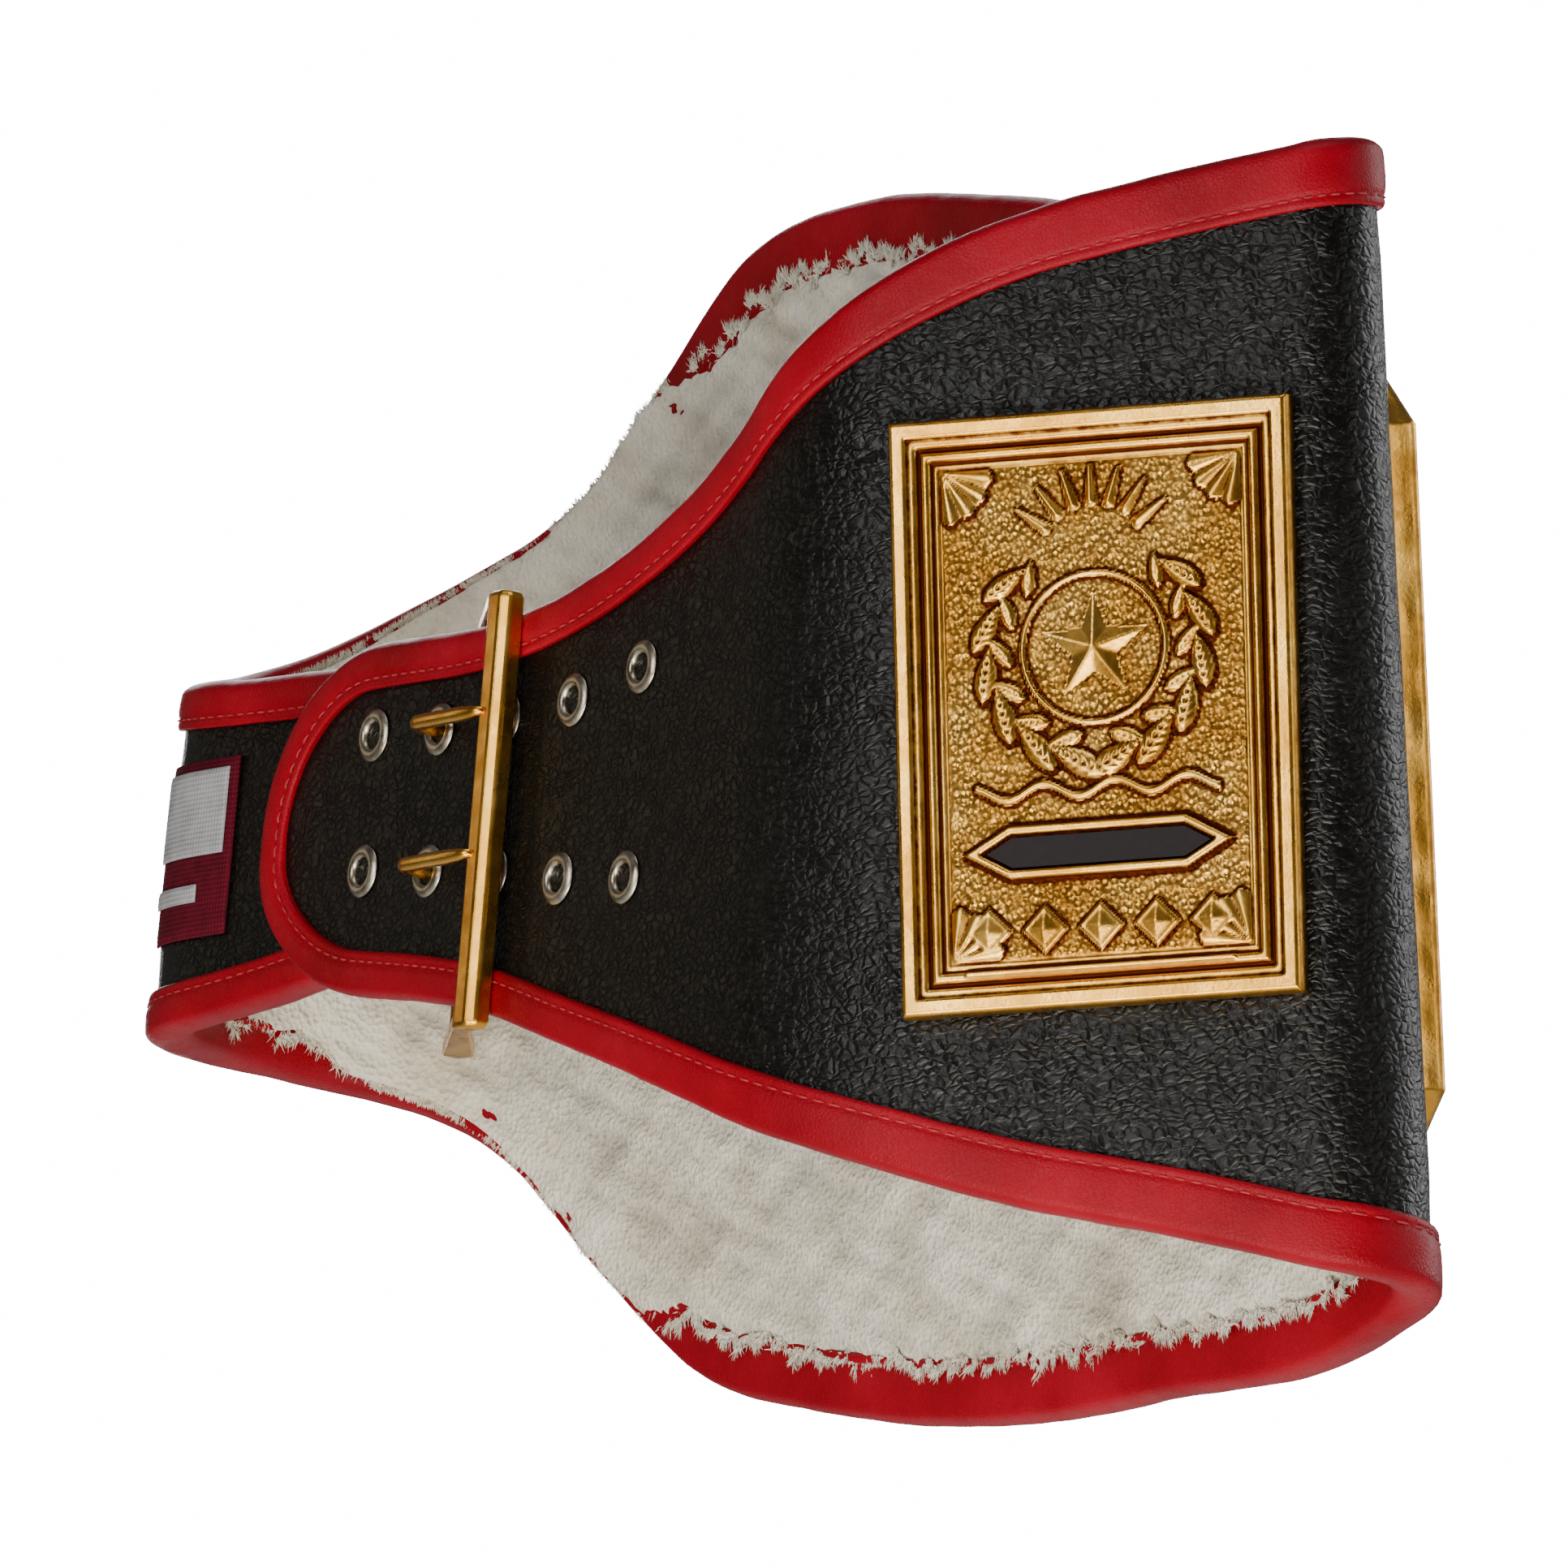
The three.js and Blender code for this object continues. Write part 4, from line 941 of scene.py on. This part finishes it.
def build_plate(name, node, matrix, width, height, corner, slab, motif, step):
    a, b = width / 2, height / 2
    nx, ny = int(width / step) | 1, int(height / step) | 1
    x, y = np.meshgrid(np.linspace(-a, a, nx), np.linspace(-b, b, ny), indexing="ij")
    if corner:
        square = np.maximum(np.abs(x) / a, np.abs(y) / b)
        eight = np.maximum(square, (np.abs(x) + np.abs(y)) / (a + b - corner))
        factor = square / np.maximum(eight, 1e-6)
        x, y = x * factor, y * factor
    h, open_field = relief(x, y, width, height, corner, slab, motif)
    soft = blurred(h, int(2.2 / step) + 1)
    gx, gy = np.gradient(h, step)
    steep = np.clip((np.hypot(gx, gy) - 0.7) / 1.8, 0, 1)
    recess = np.clip((soft - h) * 1.6 + 0.12, 0, 1) + 0.35 * steep + 0.16 * open_field
    face = np.stack([x, y, h], -1)
    rim = boundary(nx, ny)
    edge = face.reshape(-1, 3)[rim]
    back = edge.copy()
    back[:, 2] = 0.3
    rings = [*motif["wall"](edge), back, back * np.array([0.985, 0.985, 0])]
    verts = np.concatenate([face.reshape(-1, 3), *rings])
    faces = grid_faces(nx, ny)
    previous = rim
    for k in range(len(rings)):
        current = np.arange(len(rim)) + nx * ny + k * len(rim)
        quads = np.stack([previous, current, np.roll(current, -1), np.roll(previous, -1)], 1)
        faces += quads.tolist()
        previous = current
    faces.append(previous.tolist())
    obj = make_object(name, placed(matrix, verts), faces, RELIEF_MAT)
    fix_normals(obj)
    wall = np.full(len(verts) - nx * ny, 0.12)
    add_attribute(obj, "recess", np.concatenate([recess.ravel(), wall]))
    add_attribute(obj, "field", np.concatenate([open_field.ravel(), wall * 0]))
    finish_piece(obj, "gold", node)


def boundary(nx, ny):
    """Indices round the grid's edge, in order."""
    index = np.arange(nx * ny).reshape(nx, ny)
    return np.concatenate([index[:-1, 0], index[-1, :-1], index[:0:-1, -1], index[0, :0:-1]])


def plain_wall(edge):
    lower = edge.copy()
    lower[:, 2] = 1.0
    return [lower]


def wavy_wall(edge):
    """Hand-finished edge of the thick plate: a shallow cove with file marks."""
    centre = edge * np.array([1, 1, 0])
    outward = centre / np.linalg.norm(centre, axis=1)[:, None]
    rings = []
    for level, dent in ((0.86, 0.1), (0.7, 0.5), (0.5, 0.65), (0.3, 0.5), (0.14, 0.05)):
        ring = edge.copy()
        ring[:, 2] = edge[:, 2] * level
        marks = 0.22 * sine_noise(np.stack([edge[:, 0], edge[:, 1], ring[:, 2] * 3], 1), 7.0, 5)
        depth = dent + marks * (level < 0.8)
        rings.append(ring - outward * depth[:, None])
    return rings


def build_plates():
    side = {"scale": 1.0, "shapes": side_shapes, "wall": plain_wall}
    main = {"scale": 1.35, "shapes": main_shapes, "wall": wavy_wall}
    for node, at, step in (("side_plate_tail", SIDE_AT, 0.5), ("side_plate_buckle", -SIDE_AT, 0.6)):
        place = seat(at, SIDE_LIFT, GAP)
        build_plate(f"{node}_relief", node, place, SIDE_W, SIDE_H, 0, SIDE_SLAB, side, step)
    place = seat(0, MAIN_LIFT, GAP)
    build_plate("main_plate_relief", "main_plate", place, MAIN_W, MAIN_H, MAIN_CORNER, MAIN_SLAB, main, 0.8)
    for node in ("side_plate_tail_inlay", "side_plate_buckle_inlay", "main_plate_inlay"):
        dress_node(node, ENAMEL_MAT)


def dress_node(name, material):
    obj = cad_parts[name]
    obj.data.materials.clear()
    obj.data.materials.append(material)


# Eyelets
def build_eyelets():
    profile = np.array([
        (3.4, -3.0), (3.4, 0.2), (3.55, 0.75), (3.95, 1.15), (4.6, 1.42), (5.3, 1.32), (6.0, 0.95),
        (6.45, 0.5), (6.6, 0.3), (6.3, 0.3), (4.4, 0.3), (4.05, 0.2), (4.0, -3.0),
    ])
    angles = np.linspace(0, 2 * math.pi, 40, endpoint=False)
    for column in range(5):
        w = EYELET_FIRST - column * EYELET_PITCH
        for row, share in zip(("upper", "lower"), EYELET_SHARES):
            m = seat(w, eyelet_row(w, share), 0)
            across = np.outer(np.cos(angles), profile[:, 0])
            up = np.outer(np.sin(angles), profile[:, 0])
            points = np.stack([across, up, np.broadcast_to(profile[:, 1], up.shape)], -1)
            faces = grid_faces(len(angles), len(profile), True, True)
            name = f"{row}_{5 - column}"
            obj = make_object(f"eyelet_ring_{name}", placed(m, points), faces, NICKEL_MAT)
            fix_normals(obj)
            finish_piece(obj, "nickel", f"eyelet_{name}")


# Buckle
def bevel(obj, width):
    modifier = obj.modifiers.new("soft edges", "BEVEL")
    modifier.width = width
    modifier.segments = 3
    modifier.limit_method = "ANGLE"
    modifier.angle_limit = math.radians(28)


def prism(name, matrix, outline_xz, y_from, y_to, material):
    """A flat shape in the x and z of a seat, carried along its y."""
    rings = [[(x, y, z) for x, z in outline_xz] for y in (y_from, y_to)]
    return tube(name, placed(matrix, np.array(rings, float)), material, smooth=False)


def rod(name, matrix, path, radii, material, sides=20):
    """Round wire along a path in a seat's millimetres."""
    path = np.array(path, float)
    run = np.gradient(path, axis=0)
    run /= np.linalg.norm(run, axis=1)[:, None]
    side = np.array([0.0, 1.0, 0.0]) if abs(run[0, 1]) < 0.9 else np.array([1.0, 0, 0])
    rings = []
    angles = np.linspace(0, 2 * math.pi, sides, endpoint=False)
    for point, direction, radius in zip(path, run, radii):
        a = np.cross(direction, side)
        a /= np.linalg.norm(a)
        b = np.cross(direction, a)
        rings.append(point + radius * (np.cos(angles)[:, None] * a + np.sin(angles)[:, None] * b))
    return tube(name, placed(matrix, np.array(rings)), material)


def build_buckle():
    top, bottom = float(edge_top(np.array(BAR_AT))), float(edge_bottom(np.array(BAR_AT)))
    middle = (top + bottom) / 2
    half = (top - bottom) / 2 + BULGE + CLEAR + 4.0
    m = seat(BAR_AT, middle, 0)
    reach = HINGE_AT - BAR_AT
    low = BIND_OUT + CLEAR
    high = low + 6.0
    section = [(-4.5, low), (-4.5, low + 3.4), (-2.7, high), (2.2, high), (4.5, low + 3.9), (4.5, low)]
    depth = (low + high) / 2
    rings = []
    for y, s in ((-half, 0.72), (-half + 1.2, 1.0), (half - 1.2, 1.0), (half, 0.72)):
        rings.append([(x * s, y, depth + (z - depth) * s) for x, z in section])
    bar = tube("bar", placed(m, np.array(rings, float)), GOLD_MAT, smooth=False)
    arm = [
        (-4.5, low), (3.6, low), (3.9, low + 2.6), (1.6, high - 0.6), (-3.6, high - 0.6),
        (-reach - 3.1, -HINGE_DEPTH + 2.6), (-reach - 3.1, -HINGE_DEPTH - 2.6),
        (-reach + 2.6, -HINGE_DEPTH - 3.1),
    ]
    arm_low = prism("arm_low", m, arm, -half + 0.3, -half + 4.0, GOLD_MAT)
    arm_high = prism("arm_high", m, arm, half - 4.0, half - 0.3, GOLD_MAT)
    frame_obj = joined("buckle_frame_gold", [bar, arm_low, arm_high])
    bevel(frame_obj, 0.0007)
    steps = np.linspace(-half + 0.5, half - 0.5, 5)
    hinge = rod("buckle_hinge", m, [(-reach, y, -HINGE_DEPTH) for y in steps], [HINGE_R] * 5, GOLD_MAT)
    finish_piece(frame_obj, "gold", "buckle_frame")
    finish_piece(hinge, "gold")
    heights = [(eyelet_row(PRONG_AT, share) - middle) / LEAN_COS for share in EYELET_SHARES]
    for row, y in zip(("upper", "lower"), heights):
        build_prong(row, y, m, reach, high)
    build_chape(heights, m, reach)


def build_prong(row, y, m, reach, high):
    x0 = BAR_AT - PRONG_AT - 0.76
    lying = high + 0.2
    bend = 5.0
    path = [(x0, y, z) for z in np.linspace(-HINGE_DEPTH + 1, lying - bend, 6)]
    for a in np.linspace(0, math.pi / 2, 9)[1:]:
        path.append((x0 + bend * (1 - math.cos(a)), y, lying - bend + bend * math.sin(a)))
    end = -4.5 + 3.6
    path += [(x, y, lying) for x in np.linspace(path[-1][0], end, 7)[1:]]
    radii = np.full(len(path), PRONG_R)
    radii[-1], radii[-2] = 0.9, 1.6
    wire = rod("wire", m, path, radii, GOLD_MAT)
    inner, outer = HINGE_R + 0.2, CHAPE_REACH
    half_ring = [(inner, PRONG_R), (outer - 0.4, PRONG_R), (outer, PRONG_R - 0.5)]
    ring = [(inner, -PRONG_R), *half_ring, (outer, 0.5 - PRONG_R), (outer - 0.4, -PRONG_R)]
    eye = []
    for a in np.linspace(0, 2 * math.pi, 33)[:-1]:
        eye.append([(-reach + r * math.cos(a), y + v, -HINGE_DEPTH + r * math.sin(a)) for r, v in ring])
    loop = tube("eye", placed(m, np.array(eye)), GOLD_MAT, closed=True)
    prong = joined(f"prong_{row}_wire", [wire, loop])
    finish_piece(prong, "gold", f"prong_{row}")


def build_chape(heights, m, reach):
    """Leather folded round the rod, cut open at the two prongs."""
    outer, inner = CHAPE_REACH, HINGE_R + CLEAR
    section = [(-CHAPE_LAP, outer - 0.3), (0.3 - CHAPE_LAP, outer), (-12.0, outer)]
    arc = np.linspace(math.pi / 2, -math.pi * 0.8, 26)
    section += [(outer * math.cos(a), outer * math.sin(a)) for a in arc]
    section += [(inner * math.cos(a), inner * math.sin(a)) for a in arc[::-1]]
    section += [(-12.0, inner), (0.3 - CHAPE_LAP, inner), (-CHAPE_LAP, inner + 0.3)]
    shape = [(-reach + x, -HINGE_DEPTH + z) for x, z in section]
    width = STRAP_RISE + STRAP_DROP - 2 * STRAP_CORNER
    gap = PRONG_R + CLEAR
    upper, lower = heights
    cuts = [-width / 2, lower - gap, lower + gap, upper - gap, upper + gap, width / 2]
    strips = []
    for k in range(0, len(cuts) - 1, 2):
        strips.append(prism(f"chape_{k}", m, shape, cuts[k], cuts[k + 1], LEATHER_MAT))
    corners = ((-CHAPE_LAP, outer), (-9.0, outer), (-9.0, inner), (-CHAPE_LAP, inner))
    back = [(-reach + x, -HINGE_DEPTH + z) for x, z in corners]
    strips.append(prism("chape_back", m, back, -width / 2, width / 2, LEATHER_MAT))
    finish_piece(joined("buckle_chape_leather", strips), "leather", "buckle_chape")


# Label
LABEL_W, LABEL_H, LABEL_MIDDLE, LABEL_PAST_TAIL = 40.0, 44.0, 2.0, 37.0
LABEL_HEM, BAR_H = 2.5, 4.4
CLOTH_DEPTHS, WOVEN_DEPTHS = (0.3, 1.2), (1.45, 2.0)


def patch(name, span, rise, depths, material, node, slot):
    """A piece of cloth on the leather with edges that turn down a little."""
    grid_w, grid_z = np.meshgrid(np.linspace(*span, 26), np.linspace(*rise[::-1], 18), indexing="ij")
    from_side = np.minimum(grid_w - span[0], span[1] - grid_w)
    edge = np.minimum(from_side, np.minimum(rise[1] - grid_z, grid_z - rise[0]))
    top = depths[1] - 0.25 * (1 - ease(edge / 1.2))
    outer_face = worn(grid_w, grid_z, top)
    back = worn(grid_w[:, ::-1], grid_z[:, ::-1], depths[0])
    obj = tube(name, np.concatenate([outer_face, back[:, [0, -1]]], 1), material)
    return finish_piece(obj, slot, node)


def build_label():
    start = TAIL_END + LABEL_PAST_TAIL - LOOP
    end = start + LABEL_W
    low, high = LABEL_MIDDLE - LABEL_H / 2, LABEL_MIDDLE + LABEL_H / 2
    span, rise = (start + LABEL_HEM, end - LABEL_HEM), (high - LABEL_H * 0.54, high - LABEL_HEM)
    bar_span, bar_high = (start + 12, end - LABEL_HEM), high - LABEL_H * 0.7
    bar_rise = (bar_high - BAR_H, bar_high)
    cloth = patch("label_patch_cloth", (start, end), (low, high), CLOTH_DEPTHS, LABEL_MAT,
                  "label_patch", "label_cloth")
    panel = patch("label_panel_cloth", span, rise, WOVEN_DEPTHS, PANEL_MAT, "label_panel", "label_panel")
    bar = patch("label_bar_cloth", bar_span, bar_rise, WOVEN_DEPTHS, PANEL_MAT, "label_bar", "label_panel")


# Camera from the photo: far away, a little below the belt, looking up
AIM = Vector((-0.0064, -0.0104, 0.0012))
DISTANCE = 7.7104
BEARING, PITCH, ROLL = math.radians(-30.953), math.radians(5.144), math.radians(-2.454)
LENS = 732.15
FLOOR_R, FLOOR_Z = 4.5, -0.85


def build_camera():
    flat = Vector((math.cos(BEARING), math.sin(BEARING), 0))
    forward = flat * math.cos(PITCH) + Vector((0, 0, math.sin(PITCH)))
    right = forward.cross(Vector((0, 0, 1))).normalized()
    up = right.cross(forward)
    turned_right = right * math.cos(ROLL) + up * math.sin(ROLL)
    turned_up = up * math.cos(ROLL) - right * math.sin(ROLL)
    data = bpy.data.cameras.new("camera")
    data.lens = LENS
    data.sensor_width = 36
    data.clip_end = 60
    camera = bpy.data.objects.new("camera", data)
    axes = Matrix((turned_right, turned_up, -forward)).transposed().to_4x4()
    camera.matrix_world = Matrix.Translation(AIM - forward * DISTANCE) @ axes
    bpy.context.scene.collection.objects.link(camera)
    bpy.context.scene.camera = camera
    return forward


def area_light(name, place, target, size, power, color=(1, 1, 1)):
    data = bpy.data.lights.new(name, "AREA")
    data.shape = "RECTANGLE"
    data.size, data.size_y = size
    data.energy = power
    data.color = color
    light = bpy.data.objects.new(name, data)
    light.location = place
    light.rotation_euler = (Vector(target) - Vector(place)).to_track_quat("-Z", "Y").to_euler()
    bpy.context.scene.collection.objects.link(light)


def build_stage(forward):
    """Pale floor, lights, and a bright patch of the world behind the belt for the white background."""
    n = Nodes("pale_floor")
    tone = n.noise(1.5, 3.0)
    color = n.ramp(tone, [(0.3, (0.78, 0.78, 0.77)), (0.7, (0.82, 0.82, 0.81))])
    material = n.set(Base_Color=color, Roughness=0.9)
    angles = np.linspace(0, 2 * math.pi, 96, endpoint=False)
    verts = [(FLOOR_R * math.cos(a), FLOOR_R * math.sin(a), FLOOR_Z) for a in angles]
    make_object("floor", verts, [list(range(len(verts)))], material)
    world = bpy.data.worlds.new("studio")
    bpy.context.scene.world = world
    world.use_nodes = True
    tree = world.node_tree
    back = tree.nodes["Background"]
    coord = tree.nodes.new("ShaderNodeTexCoord")
    dot = tree.nodes.new("ShaderNodeVectorMath")
    dot.operation = "DOT_PRODUCT"
    dot.inputs[1].default_value = forward
    glow = tree.nodes.new("ShaderNodeMapRange")
    glow.interpolation_type = "SMOOTHSTEP"
    for key, value in zip(RANGE_KEYS, (0.988, 0.996, 0.11, 16.0)):
        glow.inputs[key].default_value = value
    tree.links.new(coord.outputs["Generated"], dot.inputs[0])
    tree.links.new(dot.outputs["Value"], glow.inputs["Value"])
    tree.links.new(glow.outputs["Result"], back.inputs["Strength"])
    back.inputs["Color"].default_value = (1, 1, 1, 1)
    area_light("key", (-0.68, 1.77, 0.45), (0, 0, 0), (0.5, 1.2), 17)
    area_light("rim", (1.5, 1.0, 0.5), (0, 0, 0), (0.3, 1.0), 1.3, (1.0, 0.8, 0.5))
    area_light("top", (-0.5, 0.2, 1.8), (0, 0, 0), (1.0, 1.0), 9)
    area_light("front", (-0.2, -1.9, 0.5), (0, 0, 0), (1.6, 1.4), 26)
    area_light("front_side", (1.7, -0.9, 0.4), (0, 0, 0), (0.9, 1.2), 22)
    area_light("edge", (-1.65, -1.0, 0.25), (0, 0, 0), (0.5, 0.9), 4)
    area_light("fill_low", (-0.75, 0.75, -0.78), (0, 0, -0.05), (1.1, 0.7), 38, (1.0, 0.955, 0.86))


forward = build_camera()
build_stage(forward)
build_leather()
build_binding()
build_stitches()
build_fleece()
build_field_fibres()
build_edge_fibres()
build_plates()
build_eyelets()
build_buckle()
build_label()
